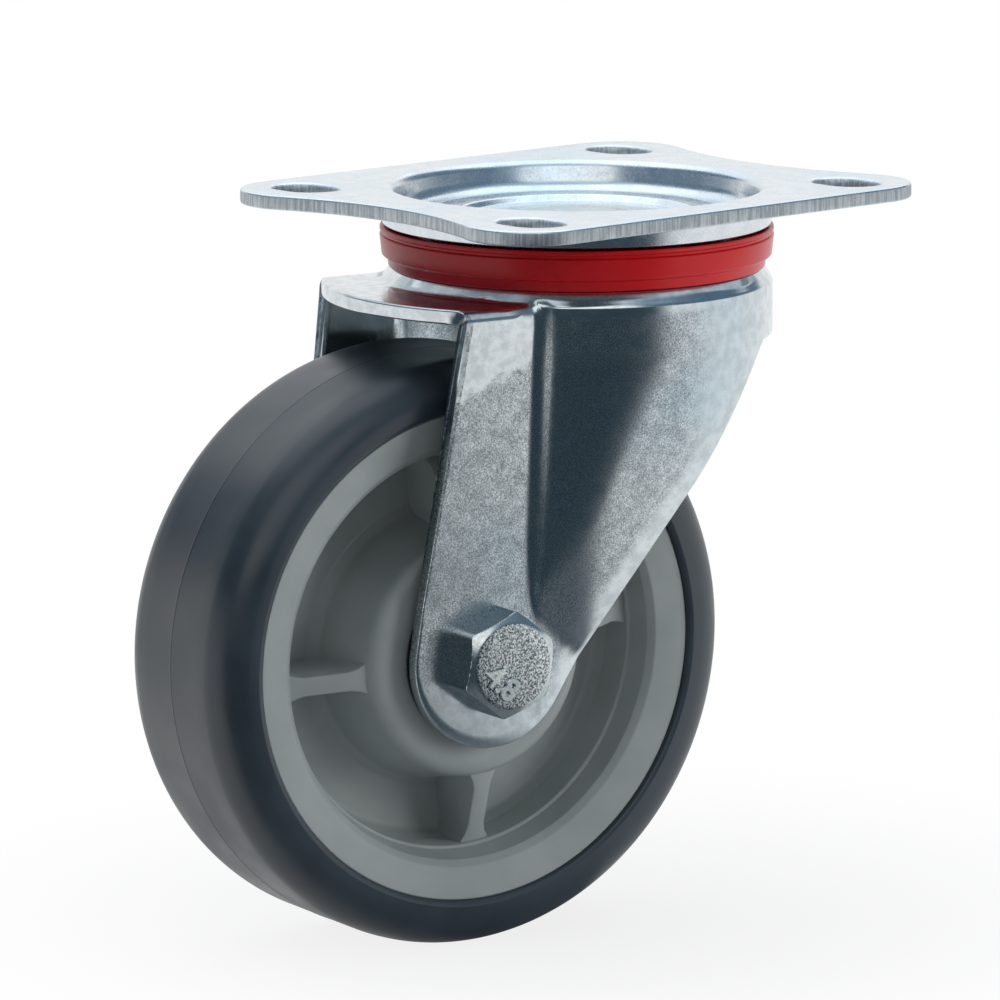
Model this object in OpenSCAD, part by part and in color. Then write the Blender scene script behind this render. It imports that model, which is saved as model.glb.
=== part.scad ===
// Swivel castor: slotted top plate, twin swivel ball races, pressed fork and moulded wheel.
// Millimetres, +Z up. The origin is the middle of the plate's upper face, on the swivel axis.

/* [Top plate] */
// Length of the plate over its corners, along Y
plate_length = 95; // [92:1:110]
// Width of the plate, along X
plate_width = 78; // [76:1:90]
// Length of the plate at the middle of its hollowed ends
waist_length = 83.6; // [80:0.2:88]
// Thickness of the plate's sheet
plate_t = 2.5; // [2:0.1:3]
// Radius of the plate's corners
corner_r = 10.9; // [9:0.1:12]
// Distance between the slots across the plate, along X
slot_spacing_x = 56.5; // [55:0.5:60]
// Distance between the slots along the plate, along Y
slot_spacing_y = 72.5; // [71:0.5:76]
// Width of a slot
slot_width = 9; // [7:0.5:10]
// Length of a slot from end to end, along X
slot_length = 12; // [11:0.5:14]
// Width of the rolled edge round a slot
slot_roll = 1.1; // [0.4:0.1:1.4]
// Radius of the pressed dish at the plate's upper face
dish_r = 32.6; // [32:0.1:33.4]
// Depth of the dish's floor
dish_depth = 5.5; // [5:0.1:7]
// Lean of the dish's wall from upright, in degrees
dish_lean = 15; // [8:1:20]

/* [Swivel races] */
// Diameter of an upper swivel ball
upper_ball_d = 6.35; // [6:0.05:6.6]
// Radius of the upper balls' path
upper_path_r = 22.5; // [22:0.1:23]
// Diameter of a lower swivel ball
lower_ball_d = 5; // [4.5:0.1:5.5]
// Radius of the lower balls' path
lower_path_r = 14; // [13.5:0.1:14.3]
// How deep an upper ball sits in its track
upper_sink = 1.1; // [0.8:0.05:1.3]
// How deep a lower ball sits in its track
lower_sink = 0.7; // [0.5:0.05:0.9]
// Running gap between a ball and its track
race_gap = 0.04; // [0.02:0.01:0.08]
// Diameter of the kingpin's shank
kingpin_d = 14; // [12:0.5:15]
// Diameter of the kingpin's upper head
kingpin_head_d = 20.5; // [18:0.5:24]
// Thickness of the lower race's sheet
lower_race_t = 2.5; // [2:0.1:3]

/* [Dust seal] */
// Height of the seal
seal_height = 7.2; // [6.6:0.1:7.3]
// Radius of the seal's main band
seal_r = 33.45; // [33:0.05:34]

/* [Fork] */
// Thickness of the fork's sheet
fork_t = 2.5; // [2:0.1:2.8]
// Clear width between the legs
leg_gap = 36.6; // [36.6:0.2:40]
// Outer radius of the fork's round head
head_r = 33.3; // [33:0.1:34]
// Height of the raised collar above the flat shelf
collar_height = 4.3; // [3.8:0.1:5]
// Reach of the shelf's front edge from the swivel axis
shelf_reach = 44.5; // [43:0.5:48]
// Radius of the shelf's arched front edge
shelf_arc_r = 38.6; // [36:0.1:60]
// Outer radius of the bend between the shelf and a leg
bend_r = 3; // [2.6:0.1:4]
// Distance from the swivel axis back to the jog in the legs
jog_back = 20.5; // [19:0.5:22]
// Radius of the rounded foot of a leg
foot_r = 14.6; // [13:0.1:16]
// Distance from the swivel axis to the front edge of a leg at the shelf
leg_front = 38.2; // [36:0.1:39]
// Distance from the swivel axis to the start of the leg's rear edge
leg_rear = 20; // [16:0.5:22]
// Depth of the skirt below the shelf
skirt_depth = 8; // [6:0.5:10]

/* [Wheel] */
// Total height from the floor to the plate's upper face
total_height = 125.4; // [125.4:0.1:130]
// Distance between the swivel axis and the axle
trail = 29.7; // [28:0.1:32]
// Diameter of the wheel over the tyre
wheel_d = 100; // [96:1:100]
// Width of the tyre
tyre_width = 33.8; // [32:0.1:34.4]
// Radius of the tyre's shoulders
shoulder_r = 6.5; // [4:0.5:7.5]
// Diameter of the plastic rim inside the tyre
rim_d = 83.5; // [80:0.5:85]
// Width of the rim
rim_width = 32; // [30:0.1:32.4]
// Diameter of the recess inside the rim, at the web
recess_d = 66.6; // [64:0.2:68]
// Thickness of the web
web_t = 3; // [2:0.2:5]
// Diameter of the hub at its face
hub_d = 40.8; // [38:0.2:42]
// Width of the hub
hub_width = 33; // [32.4:0.1:34]
// Thickness of a rib
rib_t = 3.4; // [2.5:0.1:5]
// Turn of the first rib from level, in degrees
rib_turn = 6; // [0:1:45]

/* [Wheel bearings] */
// Bore of a bearing
bearing_bore = 12; // [11.6:0.2:12]
// Outside diameter of a bearing
bearing_d = 28; // [28:0.2:30]
// Width of a bearing
bearing_w = 8; // [8:0.2:9]
// Diameter of a bearing ball
bearing_ball_d = 4.76; // [4.4:0.02:4.8]
// Running gap between a bearing's balls and rings
bearing_gap = 0.03; // [0.01:0.01:0.06]
// How far a bearing lies below the hub's face
bearing_inset = 0.2; // [0:0.1:0.6]

/* [Axle] */
// Diameter of the axle bolt
bolt_d = 10; // [9:0.1:10]
// Width across the flats of the bolt's head and nut
hex_flats = 16; // [15:0.5:17]
// Height of the bolt's head
bolt_head_h = 6.4; // [5.5:0.1:7]
// Turn of the bolt's head, in degrees
bolt_turn = 22; // [0:1:59]
// Height of the lock nut
nut_h = 10; // [8:0.5:11]
// Thickness of the washer under the nut
washer_t = 2; // [1:0.1:2.5]
// Diameter of the washer under the nut
washer_d = 20; // [18:0.5:22]
// Clearance round the bolt in the fork and the sleeve
bolt_clearance = 0.1; // [0.05:0.05:0.3]

/* [Rest position] */
// Turn of the fork against the plate, in degrees
swivel_angle = -10.3; // [-180:0.1:180]

/* [Hidden] */
$fn = 96;
past = 1;                       // how far a cut runs past the face that it opens

// Heights of the swivel head, from the plate down
upper_ball_r = upper_ball_d / 2;
upper_track_r = upper_ball_r + race_gap;
floor_under_z = -dish_depth - plate_t;
upper_ball_z = floor_under_z + upper_sink - upper_track_r;
crown_z = upper_ball_z - upper_track_r + upper_sink;
crown_under_z = crown_z - fork_t;
lower_ball_r = lower_ball_d / 2;
lower_track_r = lower_ball_r + race_gap;
lower_ball_z = crown_under_z + lower_sink - lower_track_r;
lower_race_z = lower_ball_z - lower_track_r + lower_sink;
lower_race_under_z = lower_race_z - lower_race_t;
kingpin_r = kingpin_d / 2;
crown_hole_r = lower_path_r - 3.5;
upper_ball_count = floor(360 / (2 * asin(upper_ball_r / upper_path_r)) - 0.6);
lower_ball_count = floor(360 / (2 * asin(lower_ball_r / lower_path_r)) - 0.6);

// Collar, seal seat and shelf
neck_r = head_r - 2.3;
collar_r = head_r - 1.6;
cone_foot_r = head_r - 0.1;
neck_foot_z = crown_z - 1.6;
cone_foot_z = neck_foot_z - 1.8;
shelf_z = crown_z - collar_height;
shelf_under_z = shelf_z - fork_t;
skirt_z = shelf_z - skirt_depth;
seal_z = neck_foot_z;

// Legs and axle
leg_in = leg_gap / 2;
leg_out = leg_in + fork_t;
axle_z = wheel_d / 2 - total_height;
jog_y = -jog_back;
bolt_r = bolt_d / 2;
bolt_hole_r = bolt_r + bolt_clearance;

// Wheel and bearings
wheel_r = wheel_d / 2;
rim_r = rim_d / 2;
rim_face = rim_width / 2;
recess_r = recess_d / 2;
hub_r = hub_d / 2;
hub_face = hub_width / 2;
web_face = web_t / 2;
tyre_side = tyre_width / 2;
lock_r = rim_r - 2;             // bottom of the groove that locks the tyre on
bearing_r = bearing_d / 2;
bearing_out = hub_face - bearing_inset;
bearing_in = bearing_out - bearing_w;
bearing_mid = (bearing_out + bearing_in) / 2;
bearing_path_r = (bearing_bore + bearing_d) / 4;
bearing_ball_r = bearing_ball_d / 2;
bearing_track_r = bearing_ball_r + bearing_gap;
land_r = 0.714 * bearing_ball_r;  // half the gap between the two rings' lands
ring_land_in = bearing_path_r - land_r;
ring_land_out = bearing_path_r + land_r;
bearing_ball_count = 8;

// Points on an arc from angle a0 to a1, both ends included
function arc(cx, cy, r, a0, a1, steps = 8) =
    [for (i = [0:steps]) let (a = a0 + (a1 - a0) * i / steps) [cx + r * cos(a), cy + r * sin(a)]];
// Angle at which a track of radius r meets a face that lies h from its centre
function meet(r, h) = asin(h / r);
function mirror_y(points) = [for (i = [len(points) - 1:-1:0]) [points[i].x, -points[i].y]];

// Turns a piece that is drawn with the fork straight back along -Y to the rest position
module in_fork() {
    rotate([0, 0, swivel_angle]) children();
}

// Places a piece that is drawn round the X axis on the axle
module on_axle() {
    in_fork() translate([0, -trail, axle_z]) children();
}

// Spins a profile of [radius, distance along the axle] round the axle
module spin() {
    rotate([0, 90, 0]) rotate_extrude() children();
}

// Places a piece that is drawn for the bolt head's side on side 1, or mirrored on side -1
module on_side(side) {
    on_axle() mirror([side < 0 ? 1 : 0, 0, 0]) children();
}

// Top plate: flat sheet with hollowed ends, rolled slots and a pressed dish
corner_x = plate_width / 2 - corner_r;
corner_y = plate_length / 2 - corner_r;
waist_rise = waist_length / 2 - corner_y;
waist_r = (pow(corner_x, 2) + pow(waist_rise, 2) - pow(corner_r, 2)) / (2 * (corner_r - waist_rise));
waist_turn = atan2(waist_length / 2 + waist_r - corner_y, corner_x);
waist_half = atan2(corner_x, waist_length / 2 + waist_r - corner_y);
plate_end = concat(
    arc(corner_x, corner_y, corner_r, 0, 180 - waist_turn, 10),
    arc(0, waist_length / 2 + waist_r, waist_r, 270 + waist_half, 270 - waist_half, 12),
    arc(-corner_x, corner_y, corner_r, waist_turn, 180, 10));

dish_bend = 1.8;                // radius of the dish's upper edge
trough_bend = 3;                // radius at the foot of the dish's wall
wall_x = cos(dish_lean);
wall_y = sin(dish_lean);
trough_z = floor_under_z + plate_t + 0.3;
bend_foot = [dish_r - dish_bend * wall_x, -dish_bend + dish_bend * wall_y];
trough_cz = trough_z + trough_bend;
wall_drop = bend_foot.y - (trough_cz - trough_bend * wall_y);
trough_cr = bend_foot.x - wall_drop * tan(dish_lean) - trough_bend * wall_x;
trough_under_z = trough_z - plate_t;
track_top_z = upper_ball_z + upper_track_r + plate_t;
track_back = 2.9;               // half width of the track's back, seen as a ledge in the dish
outer_meet = meet(upper_track_r, trough_under_z - upper_ball_z);
inner_meet = meet(upper_track_r, floor_under_z - upper_ball_z);
dish_overlap = 1.2;             // how far the dish's profile runs into the flat sheet
dish_out = dish_r + dish_overlap;
wall_out = [bend_foot.x + plate_t * wall_x, bend_foot.y - plate_t * wall_y];
wall_fillet = wall_out.x + (wall_out.y + plate_t) * tan(dish_lean);

dish_profile = concat(
    [[dish_out, 0]],
    arc(dish_r, -dish_bend, dish_bend, 90, 180 - dish_lean, 5),
    arc(trough_cr, trough_cz, trough_bend, -dish_lean, -118, 8),
    [[upper_path_r + track_back + 0.1, track_top_z - 0.12],
     [upper_path_r + track_back - 0.7, track_top_z],
     [upper_path_r - track_back + 0.9, track_top_z],
     [upper_path_r - track_back - 0.1, track_top_z - 0.25],
     [upper_path_r - track_back - 0.5, -dish_depth],
     [kingpin_r, -dish_depth],
     [kingpin_r, floor_under_z]],
    arc(upper_path_r, upper_ball_z, upper_track_r, 180 - inner_meet, outer_meet, 10),
    arc(trough_cr, trough_cz, trough_bend + plate_t, -90, -dish_lean, 8),
    [[wall_fillet, -plate_t - 0.3],
     [wall_fillet + 0.35, -plate_t],
     [dish_out, -plate_t]]);

module slot_cut() {
    reach = (slot_length - slot_width) / 2;
    half = slot_width / 2;
    for (x = [-reach, reach]) {
        translate([x, 0, -plate_t - past]) cylinder(r = half, h = plate_t + 2 * past);
        translate([x, 0, -slot_roll]) cylinder(r1 = half, r2 = half + slot_roll, h = slot_roll);
    }
    translate([-reach, -half, -plate_t - past]) cube([2 * reach, slot_width, plate_t + 2 * past]);
    translate([reach, 0, 0]) rotate([0, -90, 0]) linear_extrude(2 * reach)
        polygon([[-slot_roll, -half], [0, -half - slot_roll], [0, half + slot_roll], [-slot_roll, half]]);
}

module top_plate() {
    color("#c9d0d6") {
        difference() {
            translate([0, 0, -plate_t]) linear_extrude(plate_t)
                polygon(concat(plate_end, mirror_y(plate_end)));
            translate([0, 0, -plate_t - past]) cylinder(r = dish_r + dish_overlap / 2, h = plate_t + 2 * past);
            for (x = [-1, 1], y = [-1, 1])
                translate([x * slot_spacing_x / 2, y * slot_spacing_y / 2, 0]) slot_cut();
        }
        rotate_extrude() polygon(dish_profile);
    }
}

// Kingpin: shank through both races, with a flat upper head and a riveted lower head
kingpin_head_h = 0.7;
rivet_h = 2.6;
rivet_r = kingpin_r + 2.5;

module kingpin() {
    head_r1 = kingpin_head_d / 2;
    color("#b9c0c4") rotate_extrude() polygon(concat(
        [[0, -dish_depth + kingpin_head_h],
         [head_r1 - 1, -dish_depth + kingpin_head_h],
         [head_r1, -dish_depth + 0.3],
         [head_r1, -dish_depth],
         [kingpin_r, -dish_depth],
         [kingpin_r, lower_race_under_z],
         [rivet_r, lower_race_under_z]],
        arc(rivet_r - 1.5, lower_race_under_z - 1.1, 1.5, 0, -90, 5),
        [[0, lower_race_under_z - rivet_h]]));
}

// Lower race: pressed cup on the kingpin, whose track carries the lower balls
cup_lip = 1.7;

module lower_race() {
    cut = meet(lower_track_r, lower_race_z - lower_ball_z);
    cup_r = lower_path_r + lower_track_r + 2.2;
    color("#aab1b5") rotate_extrude() polygon(concat(
        [[kingpin_r, lower_race_under_z],
         [cup_r - 1.4, lower_race_under_z],
         [cup_r, lower_race_under_z + 1.4],
         [cup_r, lower_race_z + cup_lip],
         [cup_r - 1.4, lower_race_z + cup_lip],
         [cup_r - 2.1, lower_race_z]],
        arc(lower_path_r, lower_ball_z, lower_track_r, cut, -180 - cut, 8),
        [[kingpin_r, lower_race_z]]));
}

// A row of loose balls on a level path
module ball_row(count, ball_r, path_r, z) {
    for (i = [0:count - 1])
        rotate([0, 0, 360 * i / count]) translate([path_r, 0, z]) sphere(r = ball_r);
}

module upper_balls() {
    color("#e3e6e8") ball_row(upper_ball_count, upper_ball_r, upper_path_r, upper_ball_z);
}

module lower_balls() {
    color("#e3e6e8") ball_row(lower_ball_count, lower_ball_r, lower_path_r, lower_ball_z);
}

// Fork: one pressed sheet with a round crown, a flat shelf and two legs that flare to the head
crown_meet = meet(upper_track_r, crown_z - upper_ball_z);
bump_r = upper_track_r + fork_t;
bump_meet = meet(bump_r, crown_under_z - upper_ball_z);
lower_meet = meet(lower_track_r, crown_under_z - lower_ball_z);
crown_foot_z = shelf_z - 2;      // lowest edge of the crown, inside the shelf's sheet
crown_in_r = head_r - fork_t - 0.3;
washer_rise = sqrt(max(0, pow(washer_d / 2, 2) - pow(trail - jog_back, 2)));
flare_foot_z = axle_z + washer_rise + 1;  // where the flare runs out, clear of the washer
flare_top_z = shelf_z - 0.5;
flare_far = 12;                 // how far the flare's foot reaches past the swivel axis
wedge_foot_z = shelf_z - 24;     // point of the smooth triangle ahead of the jog
head_front_y = -sqrt(pow(head_r, 2) - pow(leg_out, 2));

crown_profile = concat(
    [[crown_hole_r, crown_z]],
    arc(upper_path_r, upper_ball_z, upper_track_r, 180 - crown_meet, 360 + crown_meet, 10),
    arc(neck_r - 0.8, crown_z - 0.8, 0.8, 90, 0, 4),
    [[neck_r, neck_foot_z],
     [collar_r, neck_foot_z],
     [cone_foot_r, cone_foot_z],
     [cone_foot_r, crown_foot_z],
     [crown_in_r, crown_foot_z]],
    arc(crown_in_r - 2, crown_under_z - 2, 2, 0, 90, 5),
    arc(upper_path_r, upper_ball_z, bump_r, bump_meet, -180 - bump_meet, 8),
    arc(lower_path_r, lower_ball_z, lower_track_r, lower_meet, 180 - lower_meet, 8),
    [[crown_hole_r, crown_under_z]]);

// Side view of a leg as [y, z]: straight front edge, round foot and slanted rear edge
function tangent(from, centre, r, side) =
    let (d = centre - from, l = norm(d), base = atan2(d.y, d.x), a = base + side * asin(r / l))
    from + sqrt(l * l - r * r) * [cos(a), sin(a)];
foot_centre = [-trail, axle_z];
front_top = [-leg_front, shelf_under_z];
rear_top = [leg_rear, skirt_z - 1];
foot_front = tangent(front_top, foot_centre, foot_r, -1);
foot_rear = tangent(rear_top, foot_centre, foot_r, 1);
flat_edge_y = jog_y + fork_t / 2;
flare_start = flare_foot_z + 0.5;  // how far up a flat leg runs into the flare's foot
rear_share = (flare_start - foot_rear.y) / (rear_top.y - foot_rear.y);
flat_leg = [
    [-leg_front, shelf_under_z - 0.5],
    foot_front,
    foot_centre,
    foot_rear,
    foot_rear + rear_share * (rear_top - foot_rear),
    [flat_edge_y, flare_start],
    [flat_edge_y, shelf_under_z - 0.5]
];
head_side = [
    [-leg_front, crown_z],
    foot_front,
    foot_centre,
    foot_rear,
    rear_top,
    [leg_rear + 1.5, skirt_z],
    [head_r + past, skirt_z],
    [head_r + past, crown_z]
];

// Extrudes a side view across the fork between two distances from its middle
module across(from, to) {
    translate([from, 0, 0]) rotate([90, 0, 90]) linear_extrude(to - from) children();
}

// Part of a level disc that lies between two distances along Y
module disc_slice(r, from_y, to_y, z, h) {
    intersection() {
        translate([0, 0, z - h]) cylinder(r = r, h = h, $fn = 72);
        translate([-r - past, from_y, z - h - past]) cube([2 * (r + past), to_y - from_y, h + 2 * past]);
    }
}

// Head and flared legs behind the jog, shrunk by an inset
module flare_body(inset) {
    front = jog_y + inset;
    hull() {
        disc_slice(head_r - inset, front, head_r, flare_top_z - 0.25 * inset, skirt_z - shelf_z + 16);
        translate([-leg_out + inset, front, flare_foot_z])
            cube([2 * (leg_out - inset), flare_far - front, 0.2]);
    }
}

// Smooth triangle that carries the collar over to the legs ahead of the jog
module wedge_body(inset) {
    hull() {
        disc_slice(cone_foot_r - inset, head_front_y + 0.3 * inset, jog_y + 2.2, flare_top_z - 0.25 * inset, 2);
        translate([-leg_out + inset, head_front_y + 3, wedge_foot_z])
            cube([2 * (leg_out - inset), jog_y + 2.2 - head_front_y - 3, 0.2]);
    }
}

// Shelf with its two bends, and the tops of the legs
module shelf() {
    rear = jog_y + fork_t;
    length = shelf_reach + rear;
    flat = leg_out - bend_r;
    difference() {
        intersection() {
            translate([0, -shelf_reach, 0]) union() {
                translate([-flat, 0, shelf_z - bend_r]) cube([2 * flat, length, bend_r]);
                translate([-leg_out, 0, shelf_z - bend_r - 2]) cube([2 * leg_out, length, 2]);
                for (x = [-flat, flat])
                    translate([x, 0, shelf_z - bend_r]) rotate([-90, 0, 0]) cylinder(r = bend_r, h = length);
            }
            translate([0, shelf_arc_r - shelf_reach, shelf_z - 12]) cylinder(r = shelf_arc_r, h = 14);
        }
        translate([-leg_in, -shelf_reach - past, shelf_under_z - 12])
            cube([2 * leg_in, length + 2 * past, 12]);
        translate([0, 0, shelf_z - 12]) cylinder(r = head_r - fork_t / 2, h = 14);
    }
}

module fork_legs() {
    for (side = [-1, 1])
        mirror([side < 0 ? 1 : 0, 0, 0]) {
            across(leg_in, leg_out) polygon(flat_leg);
            translate([leg_in, -trail, axle_z]) rotate([0, 90, 0]) cylinder(r = foot_r, h = fork_t);
        }
}

module fork() {
    color("#b7bdbf") in_fork() {
        rotate_extrude() polygon(crown_profile);
        difference() {
            union() {
                shelf();
                fork_legs();
                wedge_body(0);
                intersection() {
                    flare_body(0);
                    across(-head_r - past, head_r + past) polygon(head_side);
                }
            }
            flare_body(fork_t);
            wedge_body(fork_t);
            translate([0, 0, shelf_under_z - 0.3]) cylinder(r = crown_in_r - 0.1, h = 3.1);
            translate([-leg_in, -shelf_reach - past, axle_z - foot_r - past])
                cube([leg_gap, shelf_reach + jog_y + 2 * fork_t, shelf_under_z - axle_z + foot_r + past]);
            translate([-leg_out - past, -trail, axle_z]) rotate([0, 90, 0])
                cylinder(r = bolt_hole_r, h = 2 * (leg_out + past));
        }
    }
}

// Dust seal: stretched on the collar's neck, with a lip below the plate
seal_top_z = seal_z + seal_height;

module dust_seal() {
    color("#a81a1f") in_fork() rotate_extrude() polygon([
        [neck_r, seal_z],
        [neck_r + 0.9, seal_z],
        [neck_r + 1.1, seal_z + 1.9],
        [seal_r - 0.35, seal_z + 2.2],
        [seal_r, seal_top_z - 1.5],
        [seal_r - 0.4, seal_top_z - 1.25],
        [seal_r - 0.4, seal_top_z - 0.8],
        [seal_r, seal_top_z - 0.55],
        [seal_r - 0.1, seal_top_z],
        [seal_r - 1.2, seal_top_z],
        [seal_r - 1.3, seal_top_z - 1.6],
        [neck_r + 0.5, seal_z + 1.8],
        [neck_r, seal_z + 1.3]
    ]);
}

// Axle bolt: chamfered hexagon head, plain shank
hex_corner_r = hex_flats / sqrt(3);
bolt_end = leg_out + washer_t + nut_h + 1.6;

module axle_bolt() {
    crown_r = hex_flats * 0.45;
    color("#c3c9cb") on_axle() {
        intersection() {
            translate([leg_out, 0, 0]) rotate([0, 90, 0]) rotate([0, 0, 90 + bolt_turn])
                cylinder(r = hex_corner_r, h = bolt_head_h, $fn = 6);
            spin() polygon([
                [0, leg_out],
                [hex_corner_r + past, leg_out],
                [hex_corner_r + past, leg_out + bolt_head_h - 0.577 * (hex_corner_r + past - crown_r)],
                [crown_r, leg_out + bolt_head_h],
                [0, leg_out + bolt_head_h]]);
        }
        spin() polygon([
            [0, leg_out + past],
            [bolt_r, leg_out + past],
            [bolt_r, -bolt_end + 1],
            [bolt_r - 1, -bolt_end],
            [0, -bolt_end]]);
    }
}

module nut_washer() {
    color("#c3c9cb") on_side(-1) spin()
        polygon([[bolt_r, leg_out], [washer_d / 2, leg_out],
                 [washer_d / 2, leg_out + washer_t], [bolt_r, leg_out + washer_t]]);
}

// Lock nut: hexagon with a round collar that holds the plastic insert
nut_in = leg_out + washer_t;
nut_out = nut_in + nut_h;
hex_part = 0.72 * nut_h;
insert_h = 2.2;
insert_r = bolt_r + 1.8;
collar_out_r = hex_flats / 2 - 0.7;

module axle_nut() {
    color("#c3c9cb") on_side(-1) {
        difference() {
            intersection() {
                translate([nut_in, 0, 0]) rotate([0, 90, 0]) cylinder(r = hex_corner_r, h = hex_part, $fn = 6);
                spin() polygon([
                    [0, nut_in],
                    [hex_flats / 2, nut_in],
                    [hex_corner_r + past, nut_in + 1.3],
                    [hex_corner_r + past, nut_in + hex_part - 1.3],
                    [hex_flats / 2, nut_in + hex_part],
                    [0, nut_in + hex_part]]);
            }
            translate([nut_in - past, 0, 0]) rotate([0, 90, 0]) cylinder(r = bolt_r, h = nut_h + 2 * past);
            translate([nut_out - insert_h - 0.5, 0, 0]) rotate([0, 90, 0]) cylinder(r = insert_r, h = nut_h);
        }
        spin() polygon([
            [insert_r, nut_in + hex_part - past],
            [collar_out_r, nut_in + hex_part - past],
            [collar_out_r, nut_out - 0.9],
            [collar_out_r - 0.9, nut_out],
            [insert_r - 0.5, nut_out],
            [insert_r - 0.5, nut_out - 0.5],
            [insert_r, nut_out - 0.5]]);
    }
}

module nut_insert() {
    color("#e8e6da") on_side(-1) spin() polygon([
        [bolt_r, nut_out - insert_h - 0.5], [insert_r, nut_out - insert_h - 0.5],
        [insert_r, nut_out - 0.5], [bolt_r, nut_out - 0.5]]);
}

// Sleeve between the legs, on which the bearings sit
sleeve_r = bearing_bore / 2;

module axle_sleeve() {
    color("#9fa6aa") on_axle() spin()
        polygon([[bolt_hole_r, -leg_in], [sleeve_r, -leg_in], [sleeve_r, leg_in], [bolt_hole_r, leg_in]]);
}

// Spacer between a bearing's inner ring and the leg
spacer_r = sleeve_r + 2.3;

module spacer(side) {
    color("#8c9397") on_side(side) spin() polygon([
        [sleeve_r, bearing_out], [ring_land_in, bearing_out],
        [spacer_r + 1.4, leg_in - 0.6], [spacer_r + 1.4, leg_in], [sleeve_r, leg_in]]);
}

module left_spacer() { spacer(1); }
module right_spacer() { spacer(-1); }

// Bearing rings, each with a track for the balls; drawn for the bolt head's side
track_half = acos(land_r / bearing_track_r);
shield_t = 0.6;
shield_z = bearing_out - 0.3 - shield_t;
shield_seat_r = ring_land_out + 0.6;

module inner_ring(side) {
    color("#cfd4d6") on_side(side) spin() polygon(concat(
        [[sleeve_r, bearing_in], [ring_land_in, bearing_in]],
        arc(bearing_path_r, bearing_mid, bearing_track_r, 180 + track_half, 180 - track_half, 10),
        [[ring_land_in, bearing_out], [sleeve_r, bearing_out]]));
}

module outer_ring(side) {
    color("#cfd4d6") on_side(side) spin() polygon(concat(
        [[bearing_r, bearing_in], [ring_land_out, bearing_in]],
        arc(bearing_path_r, bearing_mid, bearing_track_r, -track_half, track_half, 10),
        [[ring_land_out, shield_z], [shield_seat_r, shield_z],
         [shield_seat_r, bearing_out], [bearing_r, bearing_out]]));
}

module left_inner_ring() { inner_ring(1); }
module right_inner_ring() { inner_ring(-1); }
module left_outer_ring() { outer_ring(1); }
module right_outer_ring() { outer_ring(-1); }

// Balls of one bearing
module bearing_balls(side) {
    color("#e3e6e8") on_side(side)
        for (i = [0:bearing_ball_count - 1])
            rotate([360 * i / bearing_ball_count, 0, 0])
                translate([bearing_mid, bearing_path_r, 0]) sphere(r = bearing_ball_r);
}

module left_bearing_balls() { bearing_balls(1); }
module right_bearing_balls() { bearing_balls(-1); }

// Cage: a ring with a round pocket for each ball
cage_half_t = 0.55;
cage_half_w = bearing_ball_r + 0.5;

module cage(side) {
    color("#7d6a3a") on_side(side) difference() {
        spin() polygon([
            [bearing_path_r - cage_half_t, bearing_mid - cage_half_w],
            [bearing_path_r + cage_half_t, bearing_mid - cage_half_w],
            [bearing_path_r + cage_half_t, bearing_mid + cage_half_w],
            [bearing_path_r - cage_half_t, bearing_mid + cage_half_w]]);
        for (i = [0:bearing_ball_count - 1])
            rotate([360 * i / bearing_ball_count, 0, 0])
                translate([bearing_mid, bearing_path_r - past, 0]) rotate([-90, 0, 0])
                    cylinder(r = bearing_ball_r + 0.06, h = 2 * past);
    }
}

module left_cage() { cage(1); }
module right_cage() { cage(-1); }

// Shield held in the outer ring
module shield(side) {
    color("#5c6266") on_side(side) spin() polygon([
        [ring_land_in + 0.25, shield_z], [shield_seat_r, shield_z],
        [shield_seat_r, shield_z + shield_t], [ring_land_in + 0.25, shield_z + shield_t]]);
}

module left_shield() { shield(1); }
module right_shield() { shield(-1); }

// Wheel centre: moulded rim, web, hub and ribs on both sides
hub_bore_r = sleeve_r + 1.5;
hub_round = 3;
hub_foot_r = hub_r + 2.6;
lip_r = recess_r + 2.1;          // radius of the rim's bright inner edge

half_centre = concat(
    [[hub_bore_r, 0], [hub_bore_r, bearing_in], [bearing_r, bearing_in], [bearing_r, hub_face]],
    arc(hub_r - hub_round, hub_face - hub_round, hub_round, 90, 0, 6),
    [[hub_foot_r, web_face + 1.4],
     [hub_foot_r + 0.5, web_face + 0.4],
     [hub_foot_r + 1.4, web_face],
     [recess_r - 0.9, web_face],
     [recess_r, web_face + 0.9],
     [recess_r + 0.3, rim_face - 6],
     [recess_r + 0.75, rim_face - 5.8],
     [lip_r - 0.15, rim_face - 2.1],
     [lip_r + 0.35, rim_face - 1.35],
     [lip_r + 1.1, rim_face - 1.1],
     [rim_r, rim_face],
     [rim_r, 9],
     [lock_r, 8],
     [lock_r, 0]]);

// Rib in one pocket: highest at the hub, sloping down to the rim
module rib() {
    translate([0, 0, -rib_t / 2]) linear_extrude(rib_t) polygon([
        [0, hub_r - 1],
        [0, recess_r + 2.5],
        [rim_face - 7.1, recess_r + 2.5],
        [rim_face - 6.9, recess_r],
        [rim_face - 1.8, hub_r],
        [rim_face - 2.2, hub_r - 1]]);
}

module wheel_centre() {
    color("#8d9694") on_axle() {
        for (side = [-1, 1]) mirror([side < 0 ? 1 : 0, 0, 0]) {
            spin() polygon(half_centre);
            for (turn = [0:90:270]) rotate([rib_turn + turn, 0, 0]) rib();
        }
    }
}

// Tyre: moulded round the rim, with flat tread, round shoulders and a locking foot
half_tyre = concat(
    [[lock_r, 0], [lock_r, 8], [rim_r, 9], [rim_r, rim_face]],
    arc(rim_r + 1, tyre_side - 1, 1, 180, 90, 3),
    arc(wheel_r - shoulder_r, tyre_side - shoulder_r, shoulder_r, 78, 6, 8),
    [[wheel_r, tyre_side - shoulder_r - 2], [wheel_r, 0]]);

module tyre() {
    color("#3c4a54") on_axle()
        for (side = [-1, 1]) mirror([side < 0 ? 1 : 0, 0, 0]) spin() polygon(half_tyre);
}

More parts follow.
